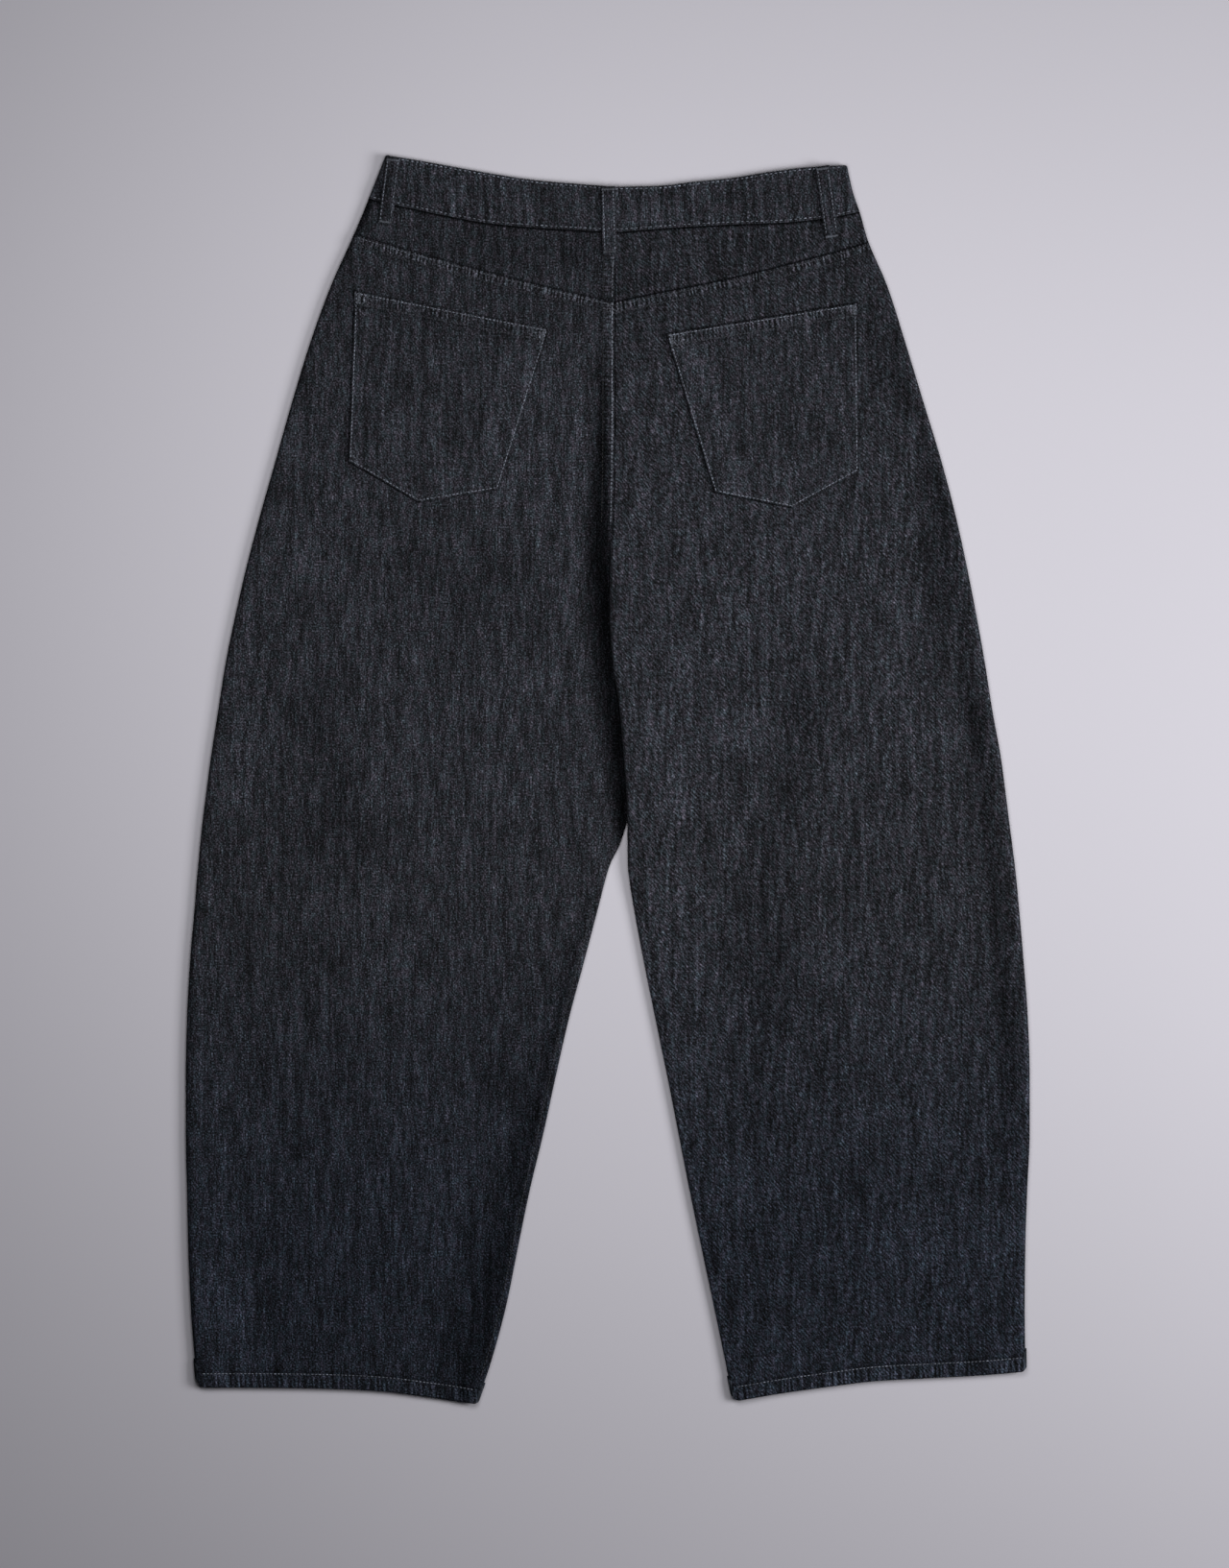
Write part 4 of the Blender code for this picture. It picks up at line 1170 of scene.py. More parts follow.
def legPanel(side, layer, name, replaced):
    plan = panelMesh[layer]
    a, b, stand = panelColumns([d * mm for d in plan["nearInner"]], plan["step"], 300 * mm)
    fa, fb, fstand = (refine(values, plan["fine"]) for values in (a, b, stand))
    top, hem = seamOn(plan["top"], side, fa, fb), seamOn("hem", side, fa, fb) + cornerLift(side, fa, fb)
    y = top[None] - np.array(plan["below"])[:, None] * mm
    blocks = [blockOf(side, layer, "panel", fa, fb, fstand, y)]
    first = seamOn(plan["top"], side, a, b) - 14 * mm
    last = seamOn("hem", side, a, b) + cornerLift(side, a, b) + 17 * mm
    t = np.linspace(0, 1, int((first.max() - last.min()) / plan["rowStep"]))[:, None]
    blocks.append(blockOf(side, layer, "panel", a, b, stand, first[None] * (1 - t) + last[None] * t))
    y = hem[None] + np.array(plan["above"])[:, None] * mm
    blocks.append(blockOf(side, layer, "panel", fa, fb, fstand, y))
    # near the rolled edges the hem's fold is thinner
    near = np.minimum(np.where(fb == 0, fa, 1), np.where(fb == 1, -fa, 1))
    y, drop, turn = hemFold(hem)
    drop = drop * (0.25 + 0.75 * ramp(0, 4 * mm, near))
    blocks.append(blockOf(side, layer, "panel", fa, fb, fstand, y, drop, turn))
    flipped = (side == "right") == (layer == "back")
    return clothPiece(name, blocks, flipped, cloth["wall"], replaced)


for side in ("left", "right"):
    legPanel(side, "back", f"backPanelCloth.{side}", f"back_panel_{side}")
    legPanel(side, "front", f"frontPanelCloth.{side}", f"front_panel_{side}")
print("leg panels made")


def yokePiece(side):
    a, b, stand = panelColumns([d * mm for d in nearInner], 1.5 * mm, 200 * mm)
    top = seamOn("band", side, a, b) + 1.8 * mm
    bottom = seamOn("yoke", side, a, b) - 1.5 * mm
    edge = np.array([0, 0.8, 1.4, 1.9, 2.5, 3.3])[:, None] * mm
    t = np.linspace(0, 1, 34)[:, None]
    y = (top - 4.3 * mm) * (1 - t) + (bottom + 4.3 * mm) * t
    y = np.concatenate([top - edge, y, bottom + edge[::-1]])
    made, flipped = blockOf(side, "back", "yoke", a, b, stand, y), side == "right"
    return clothPiece(f"yokeCloth.{side}", [made], flipped, cloth["wall"], f"yoke_{side}")


for side in ("left", "right"):
    yokePiece(side)
print("yokes made")

waistbandLook = {
    "step": 2.0 * mm,
    "fold": 1.15 * mm,
    "puckerLength": 10.5 * mm,
    "puckerRise": 0.34 * mm,
    "fineRise": 0.10 * mm,
    "swell": 0.12 * mm,
    "lowRow": 2.0 * mm,  # of stitches, from each edge
    "highRow": 1.8 * mm,
    "edgeRound": 0.9 * mm,
}


def bandRibs(x, y):
    return ripple(x, y, waistbandLook["puckerLength"], 0.12, seeds["waistband"])


def bandFace(x, y, low, high, layer, side):  # outer face of the waistband
    look, back = waistbandLook, layer == "back"
    fromLow, fromHigh = y - low, high - y
    relief = look["puckerRise"] * bandRibs(x, y) * band(3 * mm, 34 * mm, 6 * mm, fromLow)
    nearEdges = np.maximum(bell(fromLow - 2 * mm, 5 * mm), bell(fromHigh - 2 * mm, 5 * mm))
    fine = ripple(x, y, seams["puckerLength"], 0.1, seeds["waistband"] + 10)
    relief += look["fineRise"] * fine * nearEdges
    relief += look["swell"] * layeredNoise(x, y, 22 * mm, 12 * mm, seeds["waistband"] + 20, 2)
    if not back:
        relief = np.minimum(relief, 0)
    groove = seams["stitchGroove"] if back else seams["frontGroove"]
    for row in (fromLow - look["lowRow"], fromHigh - look["highRow"]):
        relief -= groove * bell(row, seams["grooveReach"])
    relief -= roundOff(fromLow, look["edgeRound"])
    return cloth["bandHeight"] + bulgeAt(x, y) + relief if back else underHeight(side, x, y) - relief


def bandStations(step):
    # from the fly round the right side, along the back and round the left side
    count = int(195 * mm / step)
    margin = cloth["edgeMargin"]
    angles = [math.pi * k / 14 for k in range(1, 14)]
    body = [(d * mm, 0.0) for d in (0.15, 2, 4, 6, 8, 10)]
    body += [(margin * (1 - 2 * k / count), k / count) for k in range(count + 1)]
    body += [(-d * mm, 1.0) for d in (9, 7, 5, 3.6)]
    back = [(0.0, 0.0)] + body[1:]
    stations = [("right", "front", a, b, 0.0) for a, b in body]
    stations += [("right", "arc", 0.0, 1.0, math.pi - angle) for angle in angles]
    stations += [("right", "back", a, b, 0.0) for a, b in back[::-1]]
    stations += [("left", "back", a, b, 0.0) for a, b in back[1:]]
    stations += [("left", "arc", 0.0, 1.0, angle) for angle in angles]
    return stations + [("left", "front", a, b, 0.0) for a, b in body[::-1]]


def bandColumn(side, layer, a, b, angle):  # points from the low edge up, over the fold and down inside
    look, fold, half = waistbandLook, waistbandLook["fold"], cloth["bandHeight"] / 2
    prefix = "front " if layer == "front" else ""
    if layer == "arc":
        low, high = seamShare("band", side, 1.0), seamShare("waist", side, 1.0)
    else:
        column = (side, np.array([a]), np.array([b]))
        low, high = (seamOn(prefix + name, *column)[0] for name in ("band", "waist"))
    top = high - fold
    edge = low + np.array([0, 0.12, 0.35, 0.8, 1.4, 2.0, 2.8]) * mm
    outer = np.concatenate([edge, np.linspace(low + 4 * mm, top - 3 * mm, 15), [top - 2 * mm, top - mm]])
    turns = np.linspace(0, math.pi, 8)
    inside = top - np.array([4, 12, 24, 33]) * mm
    y = np.concatenate([outer, top + fold * np.sin(turns), inside])
    sink = np.concatenate([0 * outer, fold * (1 - np.cos(turns)), 2 * fold + 0 * inside])
    flat = np.minimum(y, top)
    if layer == "arc":
        radius = half - sink - roundOff(y - low, look["edgeRound"])
        x = sideEdge(side, y) - outward[side] * (half - radius * math.sin(angle))
        z = half + radius * math.cos(angle)
        u = sideEdge(side, y) + outward[side] * half * angle
    else:
        x = columnX(side, a, b, y)
        face = bandFace(columnX(side, a, b, flat), flat, low, high, layer, side)
        z = face - sink if layer == "back" else face + sink
        u = x if layer == "back" else outward[side] * 0.42 - x
    fromLow, fromHigh = flat - low, high - flat
    # painted highlight and shade on the pucker ribs, and painted shade beside the low row of stitches
    toneAndShade = 0.19 + 0.42 * bandRibs(x, y) * band(2 * mm, 33 * mm, 5 * mm, fromLow)
    toneAndShade = toneAndPaintedShadeAt(x, y) * np.exp(toneAndShade - lineAt("bandDark", fromLow))
    wear = lineAt("bandLowWear", fromLow) + lineAt("bandHighWear", fromHigh)
    drawn = np.maximum(lineAt("bandLowDrawn", fromLow), lineAt("bandHighDrawn", fromHigh))
    return {"x": x, "y": y, "z": z, "u": u, "v": y + 0.5 * sink, "wear": wear, "toneAndShade": toneAndShade, "drawn": drawn}


def waistbandPiece():
    columns = [bandColumn(*station) for station in bandStations(waistbandLook["step"])]
    made = {key: np.stack([column[key] for column in columns], 1)[::-1] for key in columns[0]}
    made["seam"] = (made["x"], made["y"], made["drawn"])
    made["weave"] = grainOf["waistband"]
    return clothPiece("waistbandCloth", [made], False, cloth["wall"], "waistband")


waistbandPiece()
print("waistband made")


pocketCorners = {  # mouth inner, mouth side, bottom side, point, bottom inner
    "left": ((-46.5, 361), (-203, 391.5), (-208, 254.5), (-151.5, 221.5), (-87, 232)),
    "right": ((46, 357), (200, 382), (201.5, 246.5), (147.5, 217), (85, 229.5)),
}
pocketLook = {
    "lift": 1.75 * mm,
    "hemDepth": 11.5 * mm,
    "hemRise": 0.5 * mm,
    "allowance": 9 * mm,
    "allowanceRise": 0.30 * mm,
    "puff": 0.35 * mm,
    "swell": 0.22 * mm,
    "ribRise": 0.15 * mm,
    "waveRise": 0.08 * mm,
    "edgeRound": 0.95 * mm,
    "stitchInset": 2.1 * mm,
    "hemStitch": 10.2 * mm,
    "worn": {"left": (0.10, 0.15, 0.06, 0.03, 0.03), "right": (0.12, 0.04, 0.03, 0.02, 0.03)},  # corners
}
pocketPoints = {side: [np.array(p) * mm for p in corners] for side, corners in pocketCorners.items()}


def outlineDistance(x, y, corners):
    best = np.full(np.shape(x), 1e9)
    for p, q in zip(corners, corners[1:] + corners[:1]):
        best = np.minimum(best, segmentDistance(x, y, *p, *q))
    return best


def pocketFace(side, x, y):
    look, corners, seed = pocketLook, pocketPoints[side], seeds["pocket"][side]
    edge, mouth = outlineDistance(x, y, corners), segmentDistance(x, y, *corners[0], *corners[1])
    _, nearEdge, _ = edgeMasks(side, x, y)
    relief = creasesAt(x, y, creaseRows) + unevenness(x, y, seeds["back"][side])
    height = backHeight(side, x, y) + relief * nearEdge + look["lift"]
    hemDepth, allowance = look["hemDepth"], look["allowance"]
    height += look["hemRise"] * fall(hemDepth, hemDepth + 1.5 * mm, mouth)
    height += look["allowanceRise"] * fall(allowance, allowance + 1.6 * mm, edge)
    swollen = layeredNoise(x, y, 24 * mm, 30 * mm, seed, 3) * ramp(2 * mm, 14 * mm, edge)
    height += look["puff"] * ramp(3 * mm, 26 * mm, edge) + look["swell"] * swollen
    rib = ripple(x, y, seams["puckerLength"], 0.25, seed + 5) * band(0, 10 * mm, 4 * mm, mouth)
    wave = ripple(y, x, 6.5 * mm, 0.2, seed + 8) * fall(3 * mm, 9 * mm, edge)
    height += look["ribRise"] * rib + look["waveRise"] * wave
    height -= seams["stitchGroove"] * bell(edge - look["stitchInset"], seams["grooveReach"])
    height -= 0.8 * seams["stitchGroove"] * bell(mouth - look["hemStitch"], seams["grooveReach"])
    return height - roundOff(edge, look["edgeRound"])


def closeAtEnds(size, reach):  # shares of a side, close at both ends and even between them
    ends = np.array([0, 0.15, 0.45, 0.95, 1.6, 2.3, 3.2, 4.2, 5.4, 6.8, 8.2, 9.2, 10.2, 11.4]) * mm / size
    return np.concatenate([ends, np.linspace(reach / size, 1 - reach / size, 44), 1 - ends[::-1]])


def pocketPiece(side):
    corners, seed = pocketPoints[side], seeds["pocket"][side]
    mouthInner, mouthSide, lowSide, point, lowInner = corners
    pointShare = (point[0] - lowInner[0]) / (lowSide[0] - lowInner[0])
    share = closeAtEnds(138 * mm, 13 * mm)
    share = np.sort(np.append(share[np.abs(share - pointShare) > 0.006], pointShare))
    s, d = (grid[..., None] for grid in np.meshgrid(share, closeAtEnds(140 * mm, 12.6 * mm)))
    mouth = mouthInner + (mouthSide - mouthInner) * s
    first, second = s / pointShare, (s - pointShare) / (1 - pointShare)
    low = np.where(s <= pointShare, lowInner + (point - lowInner) * first, point + (lowSide - point) * second)
    place = mouth + (low - mouth) * d
    x, y = place[..., 0], place[..., 1]
    edge, fromMouth = outlineDistance(x, y, corners), segmentDistance(x, y, *mouthInner, *mouthSide)
    fromInner = segmentDistance(x, y, *mouthInner, *lowInner)
    fromSide = segmentDistance(x, y, *mouthSide, *lowSide)
    wear = lineAt("pocketWear", edge) + 0.016 * band(1 * mm, 8.5 * mm, 2 * mm, fromMouth)
    for corner, strength in zip(corners, pocketLook["worn"][side]):
        spot = corner + (np.mean(corners, 0) - corner) * 0.08
        wear += strength * bell(np.hypot(x - spot[0], y - spot[1]), 7 * mm)
    wear += 0.008 * softNoise(x, y, 9 * mm, 14 * mm, seed + 2)
    # the light comes from the right, so the left edges keep a dark line, and on the right pocket the mouth
    if side == "left":
        shaded = np.minimum(fromSide, segmentDistance(x, y, *point, *lowSide))
    else:
        shaded = np.minimum(np.minimum(fromInner, fromMouth), segmentDistance(x, y, *lowInner, *point))
    dark = fall(0.55 * mm, 1.25 * mm, edge) * np.where(shaded < 1.2 * mm, 1.5, 0.4)
    # painted shade below the mouth's hem and beside the inner and side edges, and a painted highlight inside
    # the inner edge
    dark += lineAt("pocketHemDark", fromMouth) - lineAt("pocketInnerLight", fromInner)
    dark += lineAt("pocketInnerDark", fromInner) * ramp(14 * mm, 22 * mm, fromMouth)
    dark += lineAt("pocketSideDark", fromSide)
    drawn = 0.9 * band(1.5 * mm, 7.5 * mm, 2 * mm, fromMouth)
    made = {
        "x": x, "y": y, "z": pocketFace(side, x, y), "u": x, "v": y, "weave": grainOf["pocket " + side],
        "wear": np.clip(wear, 0, 1), "toneAndShade": toneAndPaintedShadeAt(x, y) * np.exp(-dark),
        "seam": ((x - mouthInner[0]) * outward[side], fromMouth * 0.6, drawn),
    }
    replaced, flipped = f"back_pocket_{side}", side == "right"
    return clothPiece(f"pocketCloth.{side}", [made], flipped, cloth["wall"], replaced)


for side in ("left", "right"):
    pocketPiece(side)
print("pockets made")

loopEnds = {
    "left": ((-171.5, 498), (-178.5, 444)),
    "centre": ((0, 474.5), (1.7, 420)),
    "right": ((171.5, 491), (179.5, 432.5)),
}
loopLook = {
    "width": 12 * mm,
    "wall": 1.3 * mm,
    "lift": 1.75 * mm,
    "arch": 0.9 * mm,
    "stepStart": 1 * mm,
    "stitchInset": 1.9 * mm,
    "rowStart": 3.6 * mm,
    "barInset": 2.4 * mm,
}


def groundAt(x, y):  # what a loop lies on
    total = np.zeros(np.shape(x))
    onLeft = x < innerEdge("left", y)
    for side, here in (("left", onLeft), ("right", ~onLeft)):
        width, slope = cloth["weltWidth"], cloth["weltSlope"]
        lap = (side == "left") * fall(width, width + slope, np.abs(x - innerEdge(side, y)))
        below = backHeight(side, x, y) + cloth["weltRise"] * lap
        above = y > seamOver("band", side, x) - loopLook["stepStart"]
        total = np.where(here, np.where(above, cloth["bandHeight"] + bulgeAt(x, y), below), total)
    return total


def loopLine(ends):  # where it starts, its length, and the directions along and across
    upper, lower = (np.array(end) * mm for end in ends)
    length = math.hypot(*(upper - lower))
    along = (lower - upper) / length
    return upper, length, along, np.array([-along[1], along[0]])


def loopHeights(ends, distances):  # the outer face along the middle line
    start, length, along, across = loopLine(ends)
    found = []
    for k in np.linspace(-0.5, 0.5, 5):
        place = start + along * distances[:, None] + across * loopLook["width"] * k
        found.append(groundAt(place[:, 0], place[:, 1]))
    ground = np.max(found, 0)
    # a taut strip bridges the step instead of following it
    smooth = np.array([ground[np.abs(distances - d) < 3.5 * mm].mean() for d in distances])
    ground = np.maximum(smooth, ground - 0.25 * mm)
    for _ in range(3):
        ground = np.convolve(np.pad(ground, 2, mode="edge"), np.full(5, 0.2), mode="valid")
    arch = np.sin(np.pi * np.clip((distances / length - 0.08) / 0.84, 0, 1)) ** 1.2
    return ground + loopLook["lift"] + loopLook["arch"] * arch


def loopPiece(name, ends):
    look, half = loopLook, loopLook["width"] / 2
    start, length, along, across = loopLine(ends)
    near = np.array([0, 0.15, 0.45, 0.95]) * mm
    distances = np.concatenate([near, np.linspace(1.8 * mm, length - 1.8 * mm, 44), length - near[::-1]])
    near = np.array([0, 0.12, 0.4, 0.9]) * mm
    even = np.linspace(1.6 * mm - half, half - 1.6 * mm, 9)
    offsets = np.concatenate([near - half, even, half - near[::-1]])
    d, o = np.meshgrid(distances, offsets, indexing="ij")
    place = start + along * d[..., None] + across * o[..., None]
    x, y = place[..., 0], place[..., 1]
    edge, end = half - np.abs(o), np.minimum(d, length - d)
    z = loopHeights(ends, distances)[:, None] - roundOff(edge, 0.85 * mm) - roundOff(end, 0.9 * mm)
    z -= 0.14 * mm * bell(edge - look["stitchInset"], 0.8 * mm)
    z -= 0.25 * mm * bell(end - look["barInset"], 1.6 * mm)
    z += 0.08 * mm * ripple(d, o, 5 * mm, 0.3, seeds["loop"][name]) * fall(2 * mm, 5 * mm, edge)
    wear = lineAt("loopWear", edge) + lineAt("loopEndWear", end)
    # painted shade on the loop's edge away from the light, and a painted dark line inside its edges
    dark = rimAt("loop", edge) * (o * across[0] < 0) + lineAt("loopDark", edge)
    made = {
        "x": x, "y": y, "z": z, "u": o, "v": -d, "weave": grainOf["loop " + name], "wear": wear,
        "toneAndShade": toneAndPaintedShadeAt(x, y) * np.exp(-dark),
    }
    return clothPiece(f"beltLoopCloth.{name}", [made], True, look["wall"], f"belt_loop_{name}")


for name, ends in loopEnds.items():
    loopPiece(name, ends)
print("belt loops made")

# Sewing: every stitch is a short bent length of thread

sewing = {
    "pitch": 3.0 * mm,
    "bandPitch": 3.9 * mm,
    "length": 2.1 * mm,
    "radius": 0.38 * mm,
    "sink": 0.16 * mm,
    "barPitch": 0.62 * mm,
    "barRadius": 0.33 * mm,
    "barLift": 0.28 * mm,
    "barLevel": 0.7,
    "level": {"yoke": {"left": (0.8, 0.25), "right": (0.35, 0.25)}, "waistband": (1.4, 1.7)},
}


def stitchesOn(path, pitch, seed):  # centres, directions and lengths along a path of points
    length = sewing["length"]
    far = np.concatenate([[0], np.cumsum(np.linalg.norm(np.diff(path, axis=0), axis=1))])
    random = np.random.default_rng(seed)
    count = int((far[-1] - length) / pitch) + 1
    at = length / 2 + pitch * np.arange(count) + random.uniform(-0.12, 0.12, count) * mm
    lengths = length * random.uniform(0.86, 1.1, count)
    head = np.stack([np.interp(at + lengths / 2, far, path[:, k]) for k in range(3)], 1)
    tail = np.stack([np.interp(at - lengths / 2, far, path[:, k]) for k in range(3)], 1)
    return (head + tail) / 2, (head - tail) / np.linalg.norm(head - tail, axis=1)[:, None], lengths


# A stitch is four rings of six points, closed at its ends
stitchFaces = [(r + k, r + (k + 1) % 6, r + (k + 1) % 6 + 6, r + k + 6) for r in (0, 6, 12) for k in range(6)]
stitchFaces += [tuple(range(5, -1, -1)), tuple(range(18, 24))]
stitchRings = ((-0.5, -0.34, 0.34, 0.5), (0.4, 1.0, 1.0, 0.4), (-1.0, 0.0, 0.0, -1.0))  # place, size, sinking


def threadMesh(name, rows):
    ringAt, ringSize, ringSink = (np.array(values)[None, :, None, None] for values in stitchRings)
    turns = (np.arange(6) * math.pi / 3)[None, None, :, None]
    random = np.random.default_rng(seeds["thread"])
    points, worn = [], []
    for centre, along, lengths, radius, up, level in rows:
        worn.append(np.repeat(level * random.uniform(0.6, 1.4, len(centre)), 24))
        upward = np.array([0.0, 0.0, up])
        above = upward - (upward * along).sum(1)[:, None] * along
        above /= np.linalg.norm(above, axis=1)[:, None]
        beside = np.cross(along, above)
        centre, along, above, beside = (values[:, None, None] for values in (centre, along, above, beside))
        ring = centre + along * lengths[:, None, None, None] * ringAt
        ring = ring + (beside * np.cos(turns) + above * np.sin(turns)) * radius * ringSize
        points.append((ring + above * radius * 0.7 * ringSink).reshape(-1, 3))
    points = np.concatenate(points)
    faces = [tuple(start + k for k in face) for start in range(0, len(points), 24) for face in stitchFaces]
    mesh = bpy.data.meshes.new(name)
    mesh.from_pydata(points.tolist(), [], faces)
    setAttribute(mesh, "grain", points)
    setAttribute(mesh, "worn", np.concatenate(worn))
    mesh.materials.append(greyThread)
    mesh.shade_smooth()
    piece = linked(name, mesh)
    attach(piece, "root")


def sewRow(rows, x, y, heightOf, seed, level, up=1.0, pitch=sewing["pitch"]):
    centre, along, lengths = stitchesOn(np.stack([x, y, heightOf(x, y)], 1), pitch, seed)
    centre = centre + np.array([0, 0, up]) * (sewing["radius"] - sewing["sink"])
    rows.append((centre, along, lengths, sewing["radius"], up, level))


def sewBar(rows, middle, direction, width, height, heightOf, seed):  # a bar of close zigzag stitches
    direction = direction / np.hypot(*direction)
    across = np.array([-direction[1], direction[0]])
    count = int(width / sewing["barPitch"])
    random = np.random.default_rng(seed)
    offsets = (np.arange(count) - (count - 1) / 2) * sewing["barPitch"]
    place = middle + direction * offsets[:, None] + across * random.uniform(-0.15, 0.15, count)[:, None] * mm
    z = heightOf(place[:, 0], place[:, 1]) + sewing["barLift"]
    lean = random.uniform(-0.25, 0.25, count)[:, None]
    along = np.concatenate([across + lean * direction, 0 * lean], 1)
    along /= np.linalg.norm(along, axis=1)[:, None]
    lengths = height * random.uniform(0.9, 1.08, count)
    rows.append((np.stack([*place.T, z], 1), along, lengths, sewing["barRadius"], 1.0, sewing["barLevel"]))


def linePath(start, end, count=200):
    t = np.linspace(0, 1, count)
    return start[0] + (end[0] - start[0]) * t, start[1] + (end[1] - start[1]) * t


def rowAlongSeam(side, name, offset, trimInner, trimSide):  # follows a seam at a distance below it
    x0 = innerEdge(side, seamShare(name, side, 0.0)) + outward[side] * trimInner
    x1 = sideEdge(side, seamShare(name, side, 1.0)) - outward[side] * trimSide
    x = np.linspace(x0, x1, 500)
    return x, seamOver(name, side, x) - offset


def insetPath(corners, inset):  # the pocket's outline, moved in
    middle = np.mean(corners, 0)
    edges = []
    for p, q in zip(corners, corners[1:] + corners[:1]):
        normal = np.array([-(q - p)[1], (q - p)[0]])
        normal /= np.linalg.norm(normal) * np.sign((middle - p) @ normal)
        edges.append((p + normal * inset, q - p))
    moved = []
    for (p, d), (q, e) in zip([edges[-1]] + edges[:-1], edges):
        moved.append(p + d * np.linalg.solve(np.stack([d, -e], 1), q - p)[0])
    return moved


def onBand(side, layer, x, y):
    prefix = "front " if layer == "front" else ""
    low, high = (seamOver(prefix + name, side, x) for name in ("band", "waist"))
    return bandFace(x, y, low, high, layer, side)


def onLoop(ends, x, y):
    start, length, along, _ = loopLine(ends)
    distances = np.linspace(0, length, 120)
    heights = loopHeights(ends, distances) - 0.1 * mm
    return np.interp((np.stack([x, y], 1) - start) @ along, distances, heights)


rowsOf = {name: [] for name in ("yoke", "seat", "hem", "waistband", "pocket", "loop")}

for side in ("left", "right"):
    onPanel, seed = partial(backFace, side, part="panel"), seeds["sewing"][side]
    for k, (offset, level) in enumerate(zip(seams["rows"], sewing["level"]["yoke"][side])):
        x, y = rowAlongSeam(side, "yoke", offset, 1.5 * mm, 2.5 * mm)
        sewRow(rowsOf["yoke"], x, y, onPanel, seed + k, level)
    x, y = rowAlongSeam(side, "hem", -seams["hemStitch"], 3 * mm, 3 * mm)
    sewRow(rowsOf["hem"], x, y, onPanel, seed + 3, 1.3)
    sewRow(rowsOf["hem"], x, y, partial(frontFace, side), seed + 4, 0.9, up=-1.0)

# The inside of the left leg, then the seat. Each row: inset, first y, last y, points, part, seed, level. The
# seat's rows at 9 mm lie in the hollow and are kept nearly black, painted shade.
for inset, first, last, count, part, more, level in (
    (4.6, -105, -480, 500, "panel", 5, 0.3),
    (1.7, 436.5, 384.5, 120, "yoke", 10, 1.05), (1.7, 379, 205, 400, "panel", 12, 1.5),
    (9.0, 436.5, 384.5, 120, "yoke", 11, 0.049), (9.0, 379, 205, 400, "panel", 13, 0.07),
):
    y = np.linspace(first * mm, last * mm, count)
    x = innerEdge("left", y) - inset * mm
    sewRow(rowsOf["seat"], x, y, partial(backFace, "left", part=part), seeds["sewing"]["left"] + more, level)

for side in ("left", "right"):
    for layer, prefix, up, start in (("back", "", 1.0, 0), ("front", "front ", -1.0, 3 * mm)):
        seed = seeds["bandSewing"][side] + (5 if layer == "front" else 0)
        rows = (("band", waistbandLook["lowRow"]), ("waist", -waistbandLook["highRow"]))
        for k, (name, above) in enumerate(rows):
            x0 = innerEdge(side, 0.45) + outward[side] * start
            x1 = sideEdge(side, seamShare(name, side, 1.0)) - outward[side] * 2.2 * mm
            x = np.linspace(x0, x1, 400)
            y = seamOver(prefix + name, side, x) + above
            face, level = partial(onBand, side, layer), sewing["level"]["waistband"][k]
            sewRow(rowsOf["waistband"], x, y, face, seed + k, level, up, sewing["bandPitch"])

for side in ("left", "right"):
    onPocket, seed = partial(pocketFace, side), seeds["pocketSewing"][side]
    moved = insetPath(pocketPoints[side], pocketLook["stitchInset"])
    for k in range(5):
        sewRow(rowsOf["pocket"], *linePath(moved[k], moved[(k + 1) % 5]), onPocket, seed + k, 1.5)
    deeper = insetPath(pocketPoints[side], pocketLook["hemStitch"])
    beyond = (deeper[0] - deeper[1]) * 0.055
    sewRow(rowsOf["pocket"], *linePath(deeper[0] + beyond, deeper[1] - beyond), onPocket, seed + 7, 0.35)
    corners = pocketPoints[side][:2]
    for k, (corner, other) in enumerate(zip(corners, corners[::-1])):
        inward = (other - corner) / np.hypot(*(other - corner))
        downward = np.array([inward[1], -inward[0]]) * np.sign(inward[0])
        spot = corner + inward * 4.5 * mm + downward * 5.5 * mm
        sewBar(rowsOf["pocket"], spot, downward, 7.5 * mm, 2.2 * mm, onPocket, seed + 20 + k)

for name, ends in loopEnds.items():
    (start, length, along, across), seed = loopLine(ends), seeds["loopSewing"][name]
    first, last = (start + along * d for d in (loopLook["rowStart"], length - loopLook["rowStart"]))
    inset = across * (loopLook["width"] / 2 - loopLook["stitchInset"])
    onStrip = partial(onLoop, ends)
    for k, move in enumerate((-inset, inset)):
        sewRow(rowsOf["loop"], *linePath(first + move, last + move), onStrip, seed + k, 1.25)
    for k, d in enumerate((loopLook["barInset"], length - loopLook["barInset"])):
        sewBar(rowsOf["loop"], start + along * d, across, 10.2 * mm, 1.9 * mm, onStrip, seed + 50 + k)

for name, rows in rowsOf.items():
    threadMesh(name + "Stitches", rows)
print("sewing made")


# Floor, light and camera

floorLook = {"colour": (0.735, 0.725, 0.805), "size": 8.0, "drop": 0.3 * mm, "cloud": (1.2, 1.2, 1.2)}


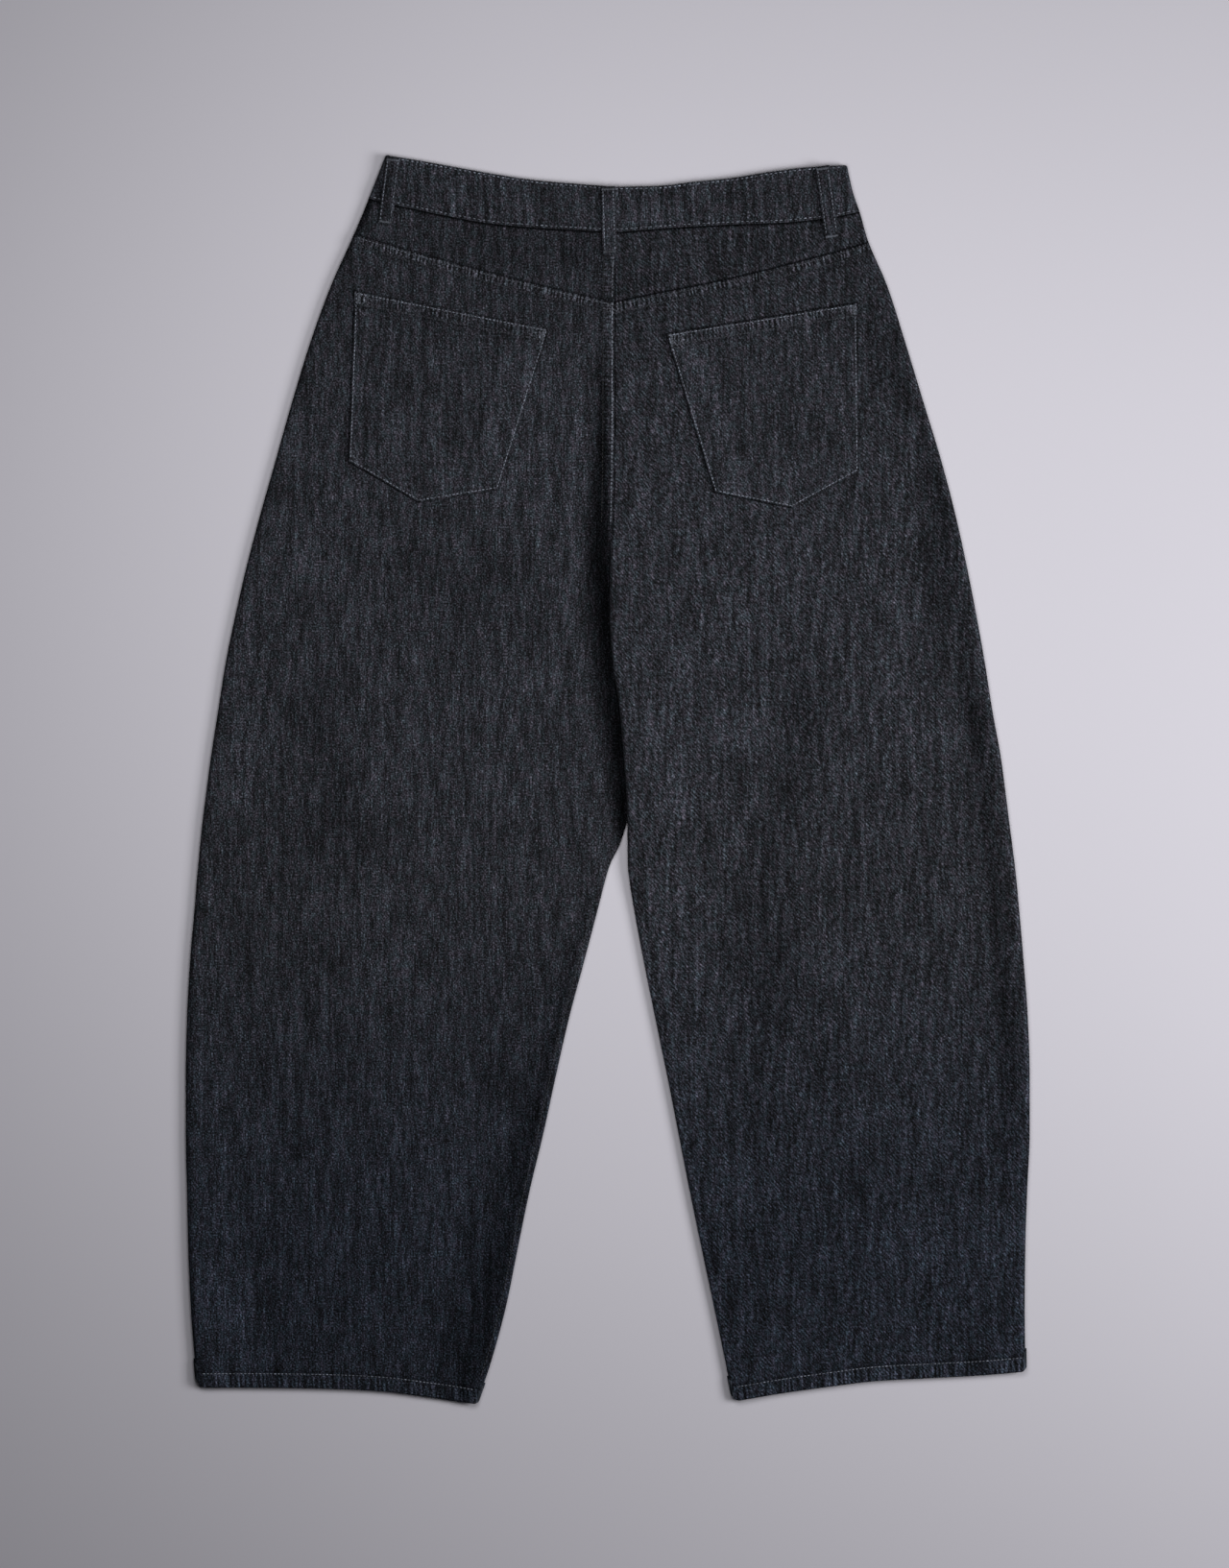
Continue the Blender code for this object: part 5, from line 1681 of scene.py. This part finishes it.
def makeFloor():
    half, z = floorLook["size"] / 2, -floorLook["drop"]
    mesh = bpy.data.meshes.new("paleFloor")
    corners = [(-half, -half, z), (half, -half, z), (half, half, z), (-half, half, z)]
    mesh.from_pydata(corners, [], [(0, 1, 2, 3)])
    made, tree, shader = newMaterial("paleFloor", Roughness=0.9, Specular_IOR_Level=0.1)
    place = node(tree, "ShaderNodeTexCoord").outputs["Object"]
    cloud = noiseAt(tree, stretched(tree, place, floorLook["cloud"]), 2.0)
    level = summed(tree, 0.98, product(tree, cloud, 0.04))
    tree.links.new(coloured(tree, level, floorLook["colour"]), shader.inputs["Base Color"])
    mesh.materials.append(made)
    linked("paleFloor", mesh)


makeFloor()


lightLook = {  # place, aim, size, watts
    "window": ((1.45, -0.10, 1.08), (0.1, 0.25, 0.0), 0.8, 20.0),
    "overhead": ((-0.05, 0.22, 0.93), (-0.05, 0.22, 0.0), 0.7, 4.9),
    "colour": (1.0, 0.985, 0.97),
    "world": 0.008,
    "backdrop": 0.12,  # seen behind the floor, but gives no light
    "worldColour": (0.75, 0.85, 1.0),
}


def aimed(obj, target):
    direction = np.array(target) - np.array(obj.location)
    direction /= np.linalg.norm(direction)
    obj.rotation_euler = (math.acos(-direction[2]), 0.0, math.atan2(direction[1], direction[0]) - math.pi / 2)


def makeLights():
    for name in ("window", "overhead"):
        place, aim, size, watts = lightLook[name]
        data = bpy.data.lights.new(name, "AREA")
        data.shape = "SQUARE"
        data.size = size
        data.energy = watts
        data.color = lightLook["colour"]
        lamp = linked(name, data)
        lamp.location = place
        lamp.visible_camera = False
        aimed(lamp, aim)
    world = bpy.data.worlds.new("studio")
    world.use_nodes = True
    tree = world.node_tree
    background = tree.nodes["Background"]
    background.inputs["Color"].default_value = (*lightLook["worldColour"], 1)
    seen = node(tree, "ShaderNodeLightPath").outputs["Is Camera Ray"]
    strength = summed(tree, product(tree, seen, lightLook["backdrop"]), lightLook["world"])
    tree.links.new(strength, background.inputs["Strength"])
    bpy.context.scene.world = world


makeLights()

cameraLook = {"x": 0.00539, "y": -0.003465, "distance": 2.969, "lens": 85.0, "sensor": 36.0}


def makeCamera():
    data = bpy.data.cameras.new("overheadCamera")
    data.lens = cameraLook["lens"]
    data.sensor_fit = "VERTICAL"
    data.sensor_height = cameraLook["sensor"]
    data.sensor_width = cameraLook["sensor"]
    camera = linked("overheadCamera", data)
    camera.location = (cameraLook["x"], cameraLook["y"], cameraLook["distance"])
    bpy.context.scene.camera = camera


makeCamera()
bpy.context.scene.view_settings.view_transform = "Standard"
print("floor, light and camera made")
